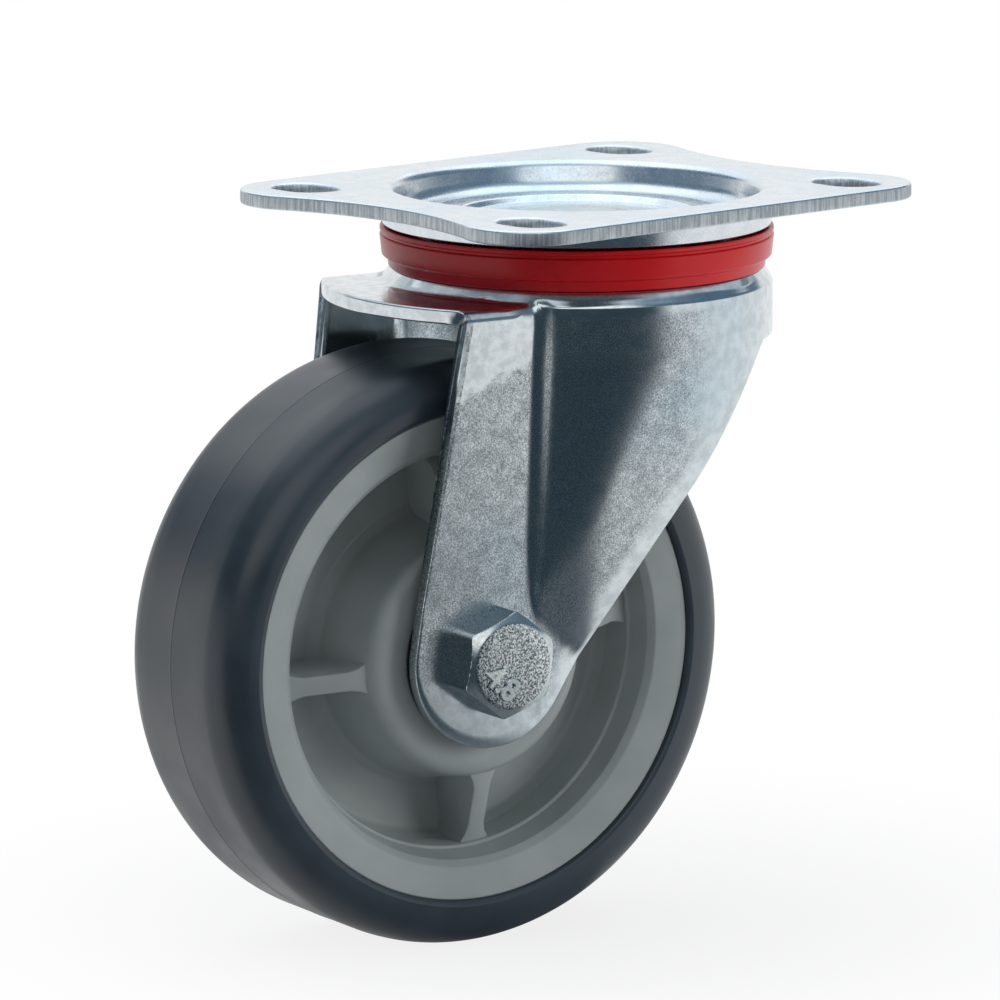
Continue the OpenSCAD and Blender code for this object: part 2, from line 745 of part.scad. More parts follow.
top_plate();
kingpin();
lower_race();
upper_balls();
lower_balls();
fork();
dust_seal();
axle_bolt();
nut_washer();
axle_nut();
nut_insert();
axle_sleeve();
left_spacer();
right_spacer();
left_inner_ring();
right_inner_ring();
left_bearing_balls();
right_bearing_balls();
left_cage();
right_cage();
left_outer_ring();
right_outer_ring();
left_shield();
right_shield();
wheel_centre();
tyre();
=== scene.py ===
# %% [markdown]
# # A swivel castor with a pressed steel fork
#
# This castor has a slotted top plate, a fork pressed from one sheet, a red dust seal and a
# moulded wheel with a grey rubber tyre. The CAD model gives every size and every place.
# This script adds what CAD leaves out: soft press bends, sheared edges, mould seams and
# the look of zinc, rubber and plastic.

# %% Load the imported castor
import math

import bpy
import bmesh
import numpy as np
from mathutils import Matrix, Vector


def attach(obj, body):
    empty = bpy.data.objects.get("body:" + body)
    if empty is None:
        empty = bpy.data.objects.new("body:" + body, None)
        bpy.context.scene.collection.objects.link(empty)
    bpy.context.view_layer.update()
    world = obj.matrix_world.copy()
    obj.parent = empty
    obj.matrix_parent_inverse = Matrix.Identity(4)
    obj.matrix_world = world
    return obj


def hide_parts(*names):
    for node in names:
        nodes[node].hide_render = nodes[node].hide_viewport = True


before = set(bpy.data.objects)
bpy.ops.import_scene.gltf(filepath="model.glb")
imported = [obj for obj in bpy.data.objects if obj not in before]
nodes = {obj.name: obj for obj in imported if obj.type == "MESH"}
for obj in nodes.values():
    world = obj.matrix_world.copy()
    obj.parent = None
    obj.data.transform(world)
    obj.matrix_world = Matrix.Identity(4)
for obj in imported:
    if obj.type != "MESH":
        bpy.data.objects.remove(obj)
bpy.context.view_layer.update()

# %% [markdown]
# ## Places
#
# The sizes below are in millimetres, as on a workshop drawing. The fork is drawn straight
# back along -Y and is then turned to the photographed position. Whatever spins with the
# wheel is drawn round the X axis and is then moved down to the axle.

# %% Sizes that several pieces share
MM = 0.001
SWIVEL = math.radians(-10.3)            # how far the fork is turned from straight back
TRAIL, AXLE_Z = 29.7, -75.4             # the axle's place behind the swivel axis and below the plate
SHEET = 2.5                             # thickness of the plate and of the fork
LEG_OUT = 20.8                          # outer face of a leg at the axle
LEG_IN = LEG_OUT - SHEET
HEAD_H = 6.4                            # height of the bolt's head
CROWN_Z, SKIRT_Z, REAR_Y = -12.24, -24.54, 20.0
FOOT_R = 14.6                           # round foot of a leg, about the axle

in_plate = Matrix.Identity(4)
in_fork = Matrix.Rotation(SWIVEL, 4, "Z")
on_axle = in_fork @ Matrix.Translation((0, -TRAIL, AXLE_Z))
print("axle at", [round(v, 2) for v in on_axle.translation])

# %% [markdown]
# ## Helpers for meshes
#
# A turned piece is a closed profile that is spun round an axis. Real edges are never
# perfectly sharp: a small radius at each corner catches a thin line of light, and that
# line is what makes an edge look real. So each corner of a profile may carry a radius.

# %% Round the corners of a profile


def rounded(corners, steps=5):
    """Closed profile from (u, v) or (u, v, radius) corners, with an arc at each radius."""
    out = []
    count = len(corners)
    for i, corner in enumerate(corners):
        here = np.array(corner[:2], float)
        radius = corner[2] if len(corner) > 2 else 0
        if radius == 0:
            out.append(tuple(here))
            continue
        back = np.array(corners[i - 1][:2], float) - here
        ahead = np.array(corners[(i + 1) % count][:2], float) - here
        reach = min(np.linalg.norm(back), np.linalg.norm(ahead)) * 0.49
        back /= np.linalg.norm(back)
        ahead /= np.linalg.norm(ahead)
        half = math.acos(max(-1, min(1, float(back @ ahead)))) / 2
        if half > 1.54:
            out.append(tuple(here))
            continue
        cut = min(radius / math.tan(half), reach)
        radius = cut * math.tan(half)
        middle = here + (back + ahead) / np.linalg.norm(back + ahead) * radius / math.sin(half)
        first = here + back * cut - middle
        last = here + ahead * cut - middle
        turn = math.atan2(first[0] * last[1] - first[1] * last[0], float(first @ last))
        for k in range(steps + 1):
            a = turn * k / steps
            out.append((middle[0] + first[0] * math.cos(a) - first[1] * math.sin(a),
                        middle[1] + first[0] * math.sin(a) + first[1] * math.cos(a)))
    return out


# %% Make an object from points in millimetres


def new_object(name, data):
    """An object in the scene, made of the data."""
    obj = bpy.data.objects.new(name, data)
    bpy.context.scene.collection.objects.link(obj)
    return obj


def final_mesh(obj):
    """A new mesh of what an object's modifiers or text make of it."""
    bpy.context.view_layer.update()
    return bpy.data.meshes.new_from_object(obj.evaluated_get(bpy.context.evaluated_depsgraph_get()))


def soften(mesh, sharp):
    """Shades a mesh smooth, except over edges that turn by more than sharp degrees."""
    mesh.polygons.foreach_set("use_smooth", [True] * len(mesh.polygons))
    mesh.set_sharp_from_angle(angle=math.radians(sharp))


def piece_from(name, points, faces, place, sharp=35, weld=False):
    """A mesh object whose points are placed by a matrix and scaled to metres."""
    points = np.asarray(points, float)
    turn = np.array(place.to_3x3())
    points = (points @ turn.T + np.array(place.translation)) * MM
    mesh = bpy.data.meshes.new(name)
    mesh.from_pydata(points.tolist(), [], [tuple(int(i) for i in f) for f in faces])
    bm = bmesh.new()
    bm.from_mesh(mesh)
    if weld:
        bmesh.ops.remove_doubles(bm, verts=bm.verts, dist=1e-6)
    bmesh.ops.recalc_face_normals(bm, faces=bm.faces)
    bm.to_mesh(mesh)
    bm.free()
    soften(mesh, sharp)
    return new_object(name, mesh)


def ring_grid(rows, columns, closed_rows=False, first=0):
    """Quads of a grid whose columns close into a ring, and whose rows may close too."""
    faces = []
    for r in range(rows if closed_rows else rows - 1):
        below = (r + 1) % rows
        for c in range(columns):
            d = (c + 1) % columns
            faces.append((first + r * columns + c, first + r * columns + d,
                          first + below * columns + d, first + below * columns + c))
    return faces


def capped(faces, rows, columns, first=0):
    """The faces of a grid, with one face more at each end."""
    ends = (first, first + (rows - 1) * columns)
    return faces + [tuple(range(end, end + columns)) for end in ends]


# %% Spin a profile round Z or X


def turned(name, corners, place, axis="X", steps=160, sharp=35, arc_steps=5):
    """Spins a closed profile of (radius, distance along the axis) into a piece."""
    profile = rounded(corners, arc_steps)
    angles = np.linspace(0, 2 * math.pi, steps, endpoint=False)
    points = []
    for r, h in profile:
        r = max(r, 1e-5)
        if axis == "X":
            points += [(h, r * math.cos(a), r * math.sin(a)) for a in angles]
        else:
            points += [(r * math.cos(a), r * math.sin(a), h) for a in angles]
    faces = ring_grid(len(profile), steps, closed_rows=True)
    return piece_from(name, points, faces, place, sharp, weld=True)


# %% Say what each piece is made of, what it rides on and what it replaces


def settle(obj, body, slot, material, *replaced):
    """Gives a finished piece its material, its body and the nodes that it replaces; slot is not used."""
    obj.data.materials.clear()
    obj.data.materials.append(material)
    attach(obj, body)
    if replaced:
        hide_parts(*replaced)
    print(f"{obj.name}: {len(obj.data.vertices)} vertices")
    return obj


# %% [markdown]
# ## Shared effects for the materials
#
# Zinc plating, rubber and moulded plastic look different, but the same few effects build
# them: fine speckle, soft blotches and faint scratches. Each effect is a shader node
# group with named inputs, so that a material only says how strong and how large it is.

# %% Start a shader group, and add nodes to it with little text
SOCKETS = {"float": "NodeSocketFloat", "color": "NodeSocketColor", "vector": "NodeSocketVector"}


def new_group(name, inputs, outputs):
    """An empty shader group with named sockets."""
    tree = bpy.data.node_groups.new(name, "ShaderNodeTree")
    for label, kind, value in inputs:
        socket = tree.interface.new_socket(label, in_out="INPUT", socket_type=SOCKETS[kind])
        if kind != "vector":
            socket.default_value = value
    for label, kind in outputs:
        tree.interface.new_socket(label, in_out="OUTPUT", socket_type=SOCKETS[kind])
    return tree, tree.nodes.new("NodeGroupInput"), tree.nodes.new("NodeGroupOutput")


def add(tree, kind, links=None, **settings):
    """A node with its settings, and a value or a link for each named or numbered input."""
    node = tree.nodes.new(kind)
    for key, value in settings.items():
        setattr(node, key, value)
    for key, value in (links or {}).items():
        socket = node.inputs[key]
        if isinstance(value, bpy.types.NodeSocket):
            tree.links.new(value, socket)
        else:
            socket.default_value = value
    return node


def maths(tree, operation, a, b=0.0, c=0.0):
    return add(tree, "ShaderNodeMath", {0: a, 1: b, 2: c}, operation=operation).outputs[0]


def times(tree, a, b):
    return maths(tree, "MULTIPLY", a, b)


def vector_maths(tree, operation, a, b=(0, 0, 0)):
    return add(tree, "ShaderNodeVectorMath", {0: a, 1: b}, operation=operation).outputs


def noise(tree, place, scale, detail, **more):
    """Values of a noise texture, round one half; more holds Roughness or Distortion."""
    links = {"Vector": place, "Scale": scale, "Detail": detail, **more}
    return add(tree, "ShaderNodeTexNoise", links).outputs["Fac"]


def mixed(tree, share, a, b):
    """One colour where the share is 0, and the other where it is 1."""
    return add(tree, "ShaderNodeMix", {0: share, 6: a, 7: b}, data_type="RGBA").outputs[2]


def between(tree, value, low, high, to_low=0.0, to_high=1.0):
    """Maps a value from one range to another, with soft ends."""
    ranges = {0: value, 1: low, 2: high, 3: to_low, 4: to_high}
    return add(tree, "ShaderNodeMapRange", ranges, interpolation_type="SMOOTHSTEP").outputs[0]


# %% Speckle: the crystal grain of bright zinc
speckle, given, result = new_group(
    "zinc_speckle",
    [("Place", "vector", None), ("Grain", "float", 1200.0), ("Softness", "float", 0.5)],
    [("Mask", "float"), ("Blotch", "float")])
place, size = given.outputs["Place"], given.outputs["Grain"]
fine = noise(speckle, place, size, 3.0, Roughness=0.6)
coarse = noise(speckle, place, times(speckle, size, 0.12), 4.0, Roughness=0.6)
reach = times(speckle, given.outputs["Softness"], 0.5)
grains = between(speckle, fine, maths(speckle, "SUBTRACT", 0.5, reach), maths(speckle, "ADD", 0.5, reach))
speckle.links.new(grains, result.inputs["Mask"])
speckle.links.new(between(speckle, coarse, 0.35, 0.65), result.inputs["Blotch"])

# %% Scratches: thin marks along one direction
scratch, given, result = new_group(
    "fine_scratches",
    [("Place", "vector", None), ("Density", "float", 300.0), ("Amount", "float", 0.5)],
    [("Mask", "float")])
drawn_out = add(scratch, "ShaderNodeMapping", {
    "Vector": given.outputs["Place"], "Scale": (1.0, 0.07, 0.2), "Rotation": (0.2, 0.5, 0.6)}).outputs[0]
lines = between(scratch, noise(scratch, drawn_out, given.outputs["Density"], 5.0, Roughness=0.7), 0.6, 0.75)
scratch.links.new(times(scratch, lines, given.outputs["Amount"]), result.inputs["Mask"])

# %% Mould grain: the faint texture that a mould leaves on plastic and rubber
grain, given, result = new_group(
    "mould_grain",
    [("Place", "vector", None), ("Grain", "float", 1500.0), ("Light", "color", (0.5, 0.5, 0.5, 1)),
     ("Dark", "color", (0.3, 0.3, 0.3, 1))],
    [("Colour", "color"), ("Height", "float"), ("Patch", "float")])
place, size = given.outputs["Place"], given.outputs["Grain"]
pores = noise(grain, place, size, 2.0, Roughness=0.5)
patches = noise(grain, place, times(grain, size, 0.03), 3.0, Roughness=0.55)
patch = between(grain, patches, 0.3, 0.7)
shades = mixed(grain, patch, given.outputs["Dark"], given.outputs["Light"])
for value, label in ((shades, "Colour"), (pores, "Height"), (patch, "Patch")):
    grain.links.new(value, result.inputs[label])
print("shader groups:", len(bpy.data.node_groups))

# %% [markdown]
# ## Materials
#
# Each material starts from the Principled shader and a place on the object. Plated steel
# is a metal, so its base colour is the colour of its reflections. What differs from spot
# to spot is mostly how sharp those reflections are, which is roughness.

# %% Start a material


def srgb(text, alpha=1.0):
    """A colour as it is written on screen, such as #a0181c, in Blender's linear values."""
    values = [int(text[i:i + 2], 16) / 255 for i in (1, 3, 5)]
    return (*[v / 12.92 if v <= 0.04045 else ((v + 0.055) / 1.055) ** 2.4 for v in values], alpha)


def new_material(name, **sockets):
    """A material with a Principled shader, and the place on the object as a vector."""
    material = bpy.data.materials.new(name)
    material.use_nodes = True
    tree = material.node_tree
    shader = tree.nodes["Principled BSDF"]
    for label, value in sockets.items():
        shader.inputs[label.replace("_", " ")].default_value = value
    place = add(tree, "ShaderNodeTexCoord").outputs["Object"]
    return material, tree, shader, place


def use_group(tree, group, **inputs):
    """The outputs of a shader group with these values or links."""
    return add(tree, "ShaderNodeGroup", inputs, node_tree=group).outputs


def dress(tree, shader, colour, roughness, height, depth):
    """Gives a shader its colour, its roughness and the grain of its surface."""
    grained = add(tree, "ShaderNodeBump", {"Height": height, "Strength": 1.0, "Distance": depth})
    for value, label in ((colour, "Base Color"), (roughness, "Roughness"), (grained.outputs[0], "Normal")):
        tree.links.new(value, shader.inputs[label])


# %% [markdown]
# Work leaves its marks on plated sheet: the shears leave a greyer edge with fine lines, and
# the stroke that forges the bolt's head leaves small waves. The fork also gets a painted
# highlight: on its collar, shelf, the triangle ahead of the fold, the foot and the rear edge
# the zinc is drawn lighter and without dark speckle, and is smoother there. Each mark has a
# mask, made from the place on the object.

# %% Masks for the marks of the work, and for the fork's painted highlight


def fork_place(tree, place):
    """The place on the object, turned back to the fork's own frame and split in three."""
    straight = add(tree, "ShaderNodeMapping", {"Vector": place, "Rotation": (0, 0, -SWIVEL)}).outputs[0]
    return add(tree, "ShaderNodeSeparateXYZ", {0: straight}).outputs


def plate_sheared(tree, place):
    """Mask of the plate's cut edge: outside the dish, and between the two faces of the sheet."""
    z = add(tree, "ShaderNodeSeparateXYZ", {0: place}).outputs["Z"]
    level = vector_maths(tree, "MULTIPLY", place, (1, 1, 0))[0]
    reach = vector_maths(tree, "LENGTH", level)["Value"]
    below_top = between(tree, z, -0.15 * MM, -0.45 * MM)
    above_foot = between(tree, z, -2.45 * MM, -2.2 * MM)
    return times(tree, between(tree, reach, 36 * MM, 37 * MM), times(tree, below_top, above_foot))


def bolt_cap(tree, place):
    """Mask of the round face of the bolt's head, without the figures that stand on it."""
    x, face = fork_place(tree, place)["X"], (LEG_OUT + HEAD_H) * MM
    behind = between(tree, x, face - 0.12 * MM, face - 0.05 * MM)
    return times(tree, behind, between(tree, x, face + 0.12 * MM, face + 0.05 * MM))


REAR_ACROSS = (0.8394, -0.5435)         # in Y and Z, square to the slanted rear edge of a leg
REAR_EDGE = REAR_Y * REAR_ACROSS[0] + (SKIRT_Z - 1) * REAR_ACROSS[1]


def smooth_painted_highlight_mask(tree, place):
    """Mask of the painted highlight, where the zinc is lighter, unspeckled and smoother: the collar, the
    shelf, the triangle ahead of the fold, the foot and the rear edge.
    """
    ragged = noise(tree, place, 500.0, 3.0)
    here = fork_place(tree, place)
    z = maths(tree, "ADD", here["Z"], times(tree, maths(tree, "SUBTRACT", ragged, 0.5), 8 * MM))
    lower_limit = maths(tree, "MULTIPLY_ADD", here["Y"], 0.453, -14.3 * MM)     # falls towards the front
    above = between(tree, maths(tree, "SUBTRACT", z, lower_limit), -1.5 * MM, 1.5 * MM)
    ahead = between(tree, here["Y"], -21.8 * MM, -23.2 * MM)
    across_y, across_z = times(tree, here["Y"], REAR_ACROSS[0]), times(tree, here["Z"], REAR_ACROSS[1])
    from_edge = maths(tree, "ADD", across_y, across_z)
    # Painted highlight: the top of the collar and shelf, the triangle ahead of the fold, the foot, the rear
    # edge and the rear skirt are marked, and there the zinc is drawn lighter, without dark speckle, and
    # smoother.
    smooth_painted_highlight = between(tree, here["Z"], -18.5 * MM, -16.5 * MM)
    for part in (times(tree, above, ahead),
                 between(tree, z, (AXLE_Z + 3) * MM, (AXLE_Z - 9) * MM),
                 between(tree, from_edge, (REAR_EDGE - 5) * MM, (REAR_EDGE - 1.5) * MM),
                 between(tree, here["Y"], 0.0, 9 * MM)):
        smooth_painted_highlight = maths(tree, "MAXIMUM", smooth_painted_highlight, part)
    return smooth_painted_highlight


# %% Zinc plated sheet and fasteners
SHEARED_LIGHT, SHEARED_DARK, FORGED_DARK = srgb("#cdd4d7"), srgb("#a7afb3"), srgb("#5f6a72")


def zinc(name, light, dark, tint, grain_size, soft, rough, contrast, blotch=0.3, wave=0.00002,
         smooth_painted_highlight=None, sheared=None, forged=None):
    """Bright zinc: speckled grain, softer blotches, faint colour tints and fine scratches.

    contrast and blotch are the strengths of the grain and of the blotches, and wave is the
    grain's height in metres. smooth_painted_highlight makes the mask of a painted highlight,
    where the zinc is lighter, unspeckled and smoother; sheared and forged make the masks of
    the work's marks.
    """
    material, tree, shader, place = new_material(name, Metallic=1.0)
    light, dark, tint = srgb(light), srgb(dark), srgb(tint)
    # Where the painted-highlight mask is 1, the zinc loses its dark speckle and its grain bumps and gets a
    # lower roughness, so it is drawn lighter there.
    speckled_part = maths(tree, "SUBTRACT", 1.0, smooth_painted_highlight(tree, place)) if smooth_painted_highlight else 1.0
    grains = use_group(tree, speckle, Place=place, Grain=grain_size, Softness=soft)
    marks = use_group(tree, scratch, Place=place, Density=260.0, Amount=0.5)["Mask"]
    tinted = mixed(tree, between(tree, noise(tree, place, 26.0, 2.0), 0.45, 0.7), light, tint)
    colour = mixed(tree, times(tree, grains["Mask"], times(tree, speckled_part, contrast)), tinted, dark)
    colour = mixed(tree, times(tree, grains["Blotch"], blotch), colour, dark)
    height = maths(tree, "ADD", grains["Mask"], times(tree, marks, -0.6))
    roughness = rough
    for mask, more in ((grains["Mask"], 0.12), (marks, 0.2), (grains["Blotch"], 0.08)):
        roughness = maths(tree, "ADD", roughness, times(tree, mask, more))
    if sheared:
        cut_part = sheared(tree, place)
        upright = add(tree, "ShaderNodeMapping", {"Vector": place, "Scale": (1.0, 1.0, 0.06)}).outputs[0]
        lines = between(tree, noise(tree, upright, 2400.0, 3.0), 0.35, 0.65)
        colour = mixed(tree, cut_part, colour, mixed(tree, lines, SHEARED_DARK, SHEARED_LIGHT))
        roughness = maths(tree, "ADD", roughness, times(tree, cut_part, 0.3))
    if forged:
        struck = forged(tree, place)
        dents = between(tree, noise(tree, place, 3000.0, 3.0, Distortion=0.5), 0.38, 0.64)
        colour = mixed(tree, struck, colour, mixed(tree, dents, FORGED_DARK, light))
        height = maths(tree, "ADD", height, times(tree, struck, times(tree, dents, 2.0)))
    roughness = times(tree, roughness, between(tree, speckled_part, 0.0, 1.0, 0.6, 1.0))
    dress(tree, shader, colour, roughness, times(tree, height, speckled_part), wave)
    return material


plate_zinc = zinc("plate_zinc", "#dfe6ea", "#a9b4bb", "#cfe0ea", 2600.0, 0.5, 0.16, 0.2, 0.12, 0.000003,
                  sheared=plate_sheared)
# The fork's zinc carries a painted highlight: lighter, unspeckled and smoother on the collar, the shelf, the
# foot and the edges.
fork_zinc = zinc("fork_zinc", "#d3dbde", "#4c5962", "#bccdd6", 3600.0, 0.34, 0.17, 0.62, 0.2, 0.000004,
                 smooth_painted_highlight=smooth_painted_highlight_mask)
bolt_zinc = zinc("bolt_zinc", "#dde3e3", "#5a6666", "#c9dcdd", 2600.0, 0.5, 0.12, 0.3, 0.15, 0.000004,
                 forged=bolt_cap)
race_steel = zinc("race_steel", "#b3b8bb", "#80878c", "#a9b4bb", 700.0, 0.7, 0.32, 0.3)
ball_steel = zinc("ball_steel", "#e6eaec", "#c8ced2", "#dfe8ee", 400.0, 0.8, 0.08, 0.1, 0.1, 0.000002)
cage_brass = zinc("cage_brass", "#c9a862", "#8f7437", "#bd9c58", 800.0, 0.6, 0.3, 0.3)

# %% Moulded plastic, nylon and rubber


def moulded(name, light, dark, grain_size, rough, rough_more, depth, **sockets):
    """Plastic or rubber: two close shades in soft patches, and the faint grain of the mould."""
    material, tree, shader, place = new_material(name, **sockets)
    skin = use_group(tree, grain, Place=place, Grain=grain_size, Light=srgb(light), Dark=srgb(dark))
    roughness = maths(tree, "ADD", rough, times(tree, skin["Patch"], rough_more))
    dress(tree, shader, skin["Colour"], roughness, skin["Height"], depth)
    return material


seal_red = moulded("seal_red", "#d5141d", "#c00e15", 900.0, 0.26, 0.08, 0.000004, Specular_IOR_Level=0.35)
nylon_insert = moulded("nylon_insert", "#e9e6da", "#ddd9c8", 900.0, 0.4, 0.1, 0.00001)
wheel_plastic = moulded("wheel_plastic", "#a9afae", "#9ca3a2", 2400.0, 0.38, 0.12, 0.000006)
tyre_rubber = moulded("tyre_rubber", "#323e47", "#2a353e", 2400.0, 0.3, 0.12, 0.000005,
                      Specular_IOR_Level=0.65)
print("materials:", len(bpy.data.materials))

# %% [markdown]
# ## The top plate
#
# The plate is one pressed sheet: flat, with hollowed ends, four slots whose upper edges
# are rolled over, and a deep round dish. Every radial line from the swivel axis crosses
# the dish, the flat and the edge once. So the plate is a ring grid: rows of points run
# from the hole out over the top, round the sheared edge, and back underneath.

# %% Outline of the plate
PLATE_W, PLATE_L, WAIST, CORNER = 78.0, 95.0, 83.6, 10.9


def arc_points(cx, cy, r, a0, a1, steps):
    """Points on an arc round (cx, cy), between two angles in degrees."""
    a = np.radians(np.linspace(a0, a1, steps + 1))
    return np.column_stack((cx + r * np.cos(a), cy + r * np.sin(a)))


def line_points(a, b, steps):
    """Points on a line, without its two ends."""
    t = np.linspace(0, 1, steps + 1)[1:-1, None]
    return np.array(a) * (1 - t) + np.array(b) * t


corner_x, corner_y = PLATE_W / 2 - CORNER, PLATE_L / 2 - CORNER
rise = WAIST / 2 - corner_y
waist_r = (corner_x ** 2 + rise ** 2 - CORNER ** 2) / (2 * (CORNER - rise))
waist_y = WAIST / 2 + waist_r
waist_turn = math.degrees(math.atan2(waist_y - corner_y, corner_x))
waist_half = math.degrees(math.atan2(corner_x, waist_y - corner_y)) * 0.97
end = np.vstack((
    arc_points(corner_x, corner_y, CORNER, 0, 180 - waist_turn, 30),
    arc_points(0, waist_y, waist_r, 270 + waist_half, 270 - waist_half, 40),
    arc_points(-corner_x, corner_y, CORNER, waist_turn, 180, 30)))
side = line_points((-PLATE_W / 2, corner_y), (-PLATE_W / 2, -corner_y), 36)
outline = np.vstack((end, side, -end, -side))
tangent = np.roll(outline, -1, 0) - np.roll(outline, 1, 0)
outward = np.column_stack((tangent[:, 1], -tangent[:, 0]))
outward /= np.linalg.norm(outward, axis=1)[:, None]
print("plate outline:", len(outline), "points")

# %% Rows of the plate, from the hole over the top and back below
DISH_R, DISH_Z, LEAN = 32.6, -5.5, math.radians(15)
TRACK_X, TRACK_Z, TRACK_R = 22.5, -10.12, 3.215     # the track of the upper balls, in section
wall_x, wall_y = math.cos(LEAN), math.sin(LEAN)
trough_z = DISH_Z + 0.3
FLAT_FROM, UNDER_FROM = 33.8, 36.5      # where the flat of the plate starts, above and below
foot = (DISH_R - 1.8 * wall_x, -1.8 + 1.8 * wall_y)
trough_x = foot[0] - (foot[1] - (trough_z + 3 - 3 * wall_y)) * math.tan(LEAN) - 3 * wall_x
top_side = rounded([
    (7, DISH_Z), (19.2, DISH_Z, 0.6), (20.1, -4.42, 0.6), (24.9, -4.42, 0.6), (25.9, -5.0, 0.8)], 4)[:-1]
top_side += arc_points(trough_x, trough_z + 3, 3, -118, -15, 14).tolist()
top_side += arc_points(DISH_R, -1.8, 1.8, 165, 90, 10).tolist()
top_side.append((FLAT_FROM, 0.0))
under = arc_points(trough_x, trough_z + 3, 5.5, -65, -90, 4).tolist()
track = arc_points(TRACK_X, TRACK_Z, TRACK_R, 30, 150, 16)
track = [p for p in track.tolist() if p[1] > DISH_Z - SHEET]
under_side = rounded([
    (UNDER_FROM, -SHEET), (33.2, -SHEET, 0.8), (33.0, -6.25, 0.4), (31.9, -6.45, 0.6), (30.5, -7.0)], 5)[1:-1]
under_side += under + [(25.6, -8.0)] + track + [(7, -8.0)]

angles = np.arctan2(outline[:, 1], outline[:, 0])
spokes = np.column_stack((np.cos(angles), np.sin(angles)))


def level_row(points, z):
    """Points that are given in plan, all at one height."""
    return np.column_stack((points, np.full(len(points), z)))


EDGE_R = 0.45                           # radius of the sheared edge
inset = outline - outward * EDGE_R
quarter = np.radians((0, 22, 45, 68, 90))
rows = [level_row(spokes * r, z) for r, z in top_side]
for share in (0.25, 0.5, 0.75, 0.9):
    rows.append(level_row(spokes * FLAT_FROM * (1 - share) + inset * share, 0.0))
for level, sign, turns in ((0.0, -1, quarter), (-SHEET, 1, quarter[::-1])):
    for a in turns:
        z = level + sign * EDGE_R * (1 - math.cos(a))
        rows.append(level_row(inset + outward * EDGE_R * math.sin(a), z))
for share in (0.8, 0.5, 0.2):
    rows.append(level_row(spokes * UNDER_FROM * (1 - share) + inset * share, -SHEET))
rows += [level_row(spokes * r, z) for r, z in under_side]
faces = ring_grid(len(rows), len(outline), closed_rows=True)
plate = piece_from("top_plate_pressed", np.vstack(rows), faces, in_plate, 50)
print("plate rows:", len(rows))

# %% [markdown]
# The slots are punched before the edge is rolled over, so each one is cut here with a
# slot-shaped punch that flares like the bell of a trumpet at its upper end.

# %% Cut the four slots


def slot_punch(cx, cy, roll=1.1, half=4.5, reach=1.5):
    """A closed slot-shaped solid whose top end flares by the roll's radius."""
    levels = [(-4.0, 0.0), (-roll - 0.35, 0.0)]
    bell = np.radians((0, 15, 30, 45, 60, 70, 78))
    levels += [(-roll + roll * math.sin(a), roll * (1 - math.cos(a))) for a in bell]
    levels.append((0.4, roll * 0.8 + 1.9))
    points = []
    for z, grow in levels:
        r = half + grow
        ring = np.vstack((arc_points(reach, 0, r, -90, 90, 20), arc_points(-reach, 0, r, 90, 270, 20)))
        points += [(cx + x, cy + y, z) for x, y in ring]
    count = len(ring)
    faces = capped(ring_grid(len(levels), count), len(levels), count)
    return piece_from("slot_punch", points, faces, in_plate)


def cut(obj, cutters, sharp):
    """Cuts the cutters out of a piece, and removes them."""
    for cutter in cutters:
        modifier = obj.modifiers.new("cut", "BOOLEAN")
        modifier.operation = "DIFFERENCE"
        modifier.solver = "EXACT"
        modifier.object = cutter
    mesh = final_mesh(obj)
    obj.modifiers.clear()
    obj.data = mesh
    for cutter in cutters:
        bpy.data.objects.remove(cutter)
    soften(mesh, sharp)


SLOT_X, SLOT_Y = 28.25, 36.25
cut(plate, [slot_punch(sx * SLOT_X, sy * SLOT_Y) for sx in (-1, 1) for sy in (-1, 1)], 40)
settle(plate, "mount_head", "plate_zinc", plate_zinc, "top_plate")

# %% [markdown]
# ## The fork
#
# The fork is the castor's finest pressing. A flat sheet becomes a round crown with a
# collar, a level shelf with bent sides, two flat legs, and a jog where the legs flare out
# to the round head. All the bends flow into each other, and this is hard to model by
# hand. So the outer skin is first written as a distance function: small formulas for the
# flat, round and tapering parts, joined with a radius. A grid of points is then laid over
# that skin along rays, in the directions in which the sheet runs.

# %% Round joins between two distances


def join(a, b, r):
    """Distance to two solids put together, with a hollow fillet of radius r."""
    hollow = np.hypot(np.maximum(r - a, 0), np.maximum(r - b, 0))
    return np.maximum(r, np.minimum(a, b)) - hollow


def meet(a, b, r):
    """Distance to what two solids share, with a round edge of radius r."""
    full = np.hypot(np.maximum(r + a, 0), np.maximum(r + b, 0))
    return np.minimum(-r, np.maximum(a, b)) + full


def soft_step(v, low, high):
    """Rises from 0 to 1 between low and high, with soft ends."""
    t = np.clip((v - low) / (high - low), 0, 1)
    return t * t * (3 - 2 * t)


# %% The fork's outer skin as a distance
SHELF_Z = -15.7
NECK_R, NECK_FOOT = 31.3, CROWN_Z - 1.05        # where the collar starts, under the seal
HEAD_R, BEND_R = 33.3, 32.9                     # the round head, and its bent upper edge
JOG_Y = -22.6                                   # the fold where a leg flares out to the head
FLARE_TOP, FLARE_FRONT, FLARE_FOOT = -25.04, AXLE_Z + 9.0, AXLE_Z - 1.6
BEND = 2.6                                      # outer radius of the bend from shelf to leg
LEAN_FROM, LEAN_OUT = AXLE_Z + 10.0, 3.2


def leg_x(z):
    """Half the width over the legs: level with the axle as drawn, and wider towards the shelf."""
    return LEG_OUT + LEAN_OUT * np.maximum(z - LEAN_FROM, 0) / (SHELF_Z - LEAN_FROM)


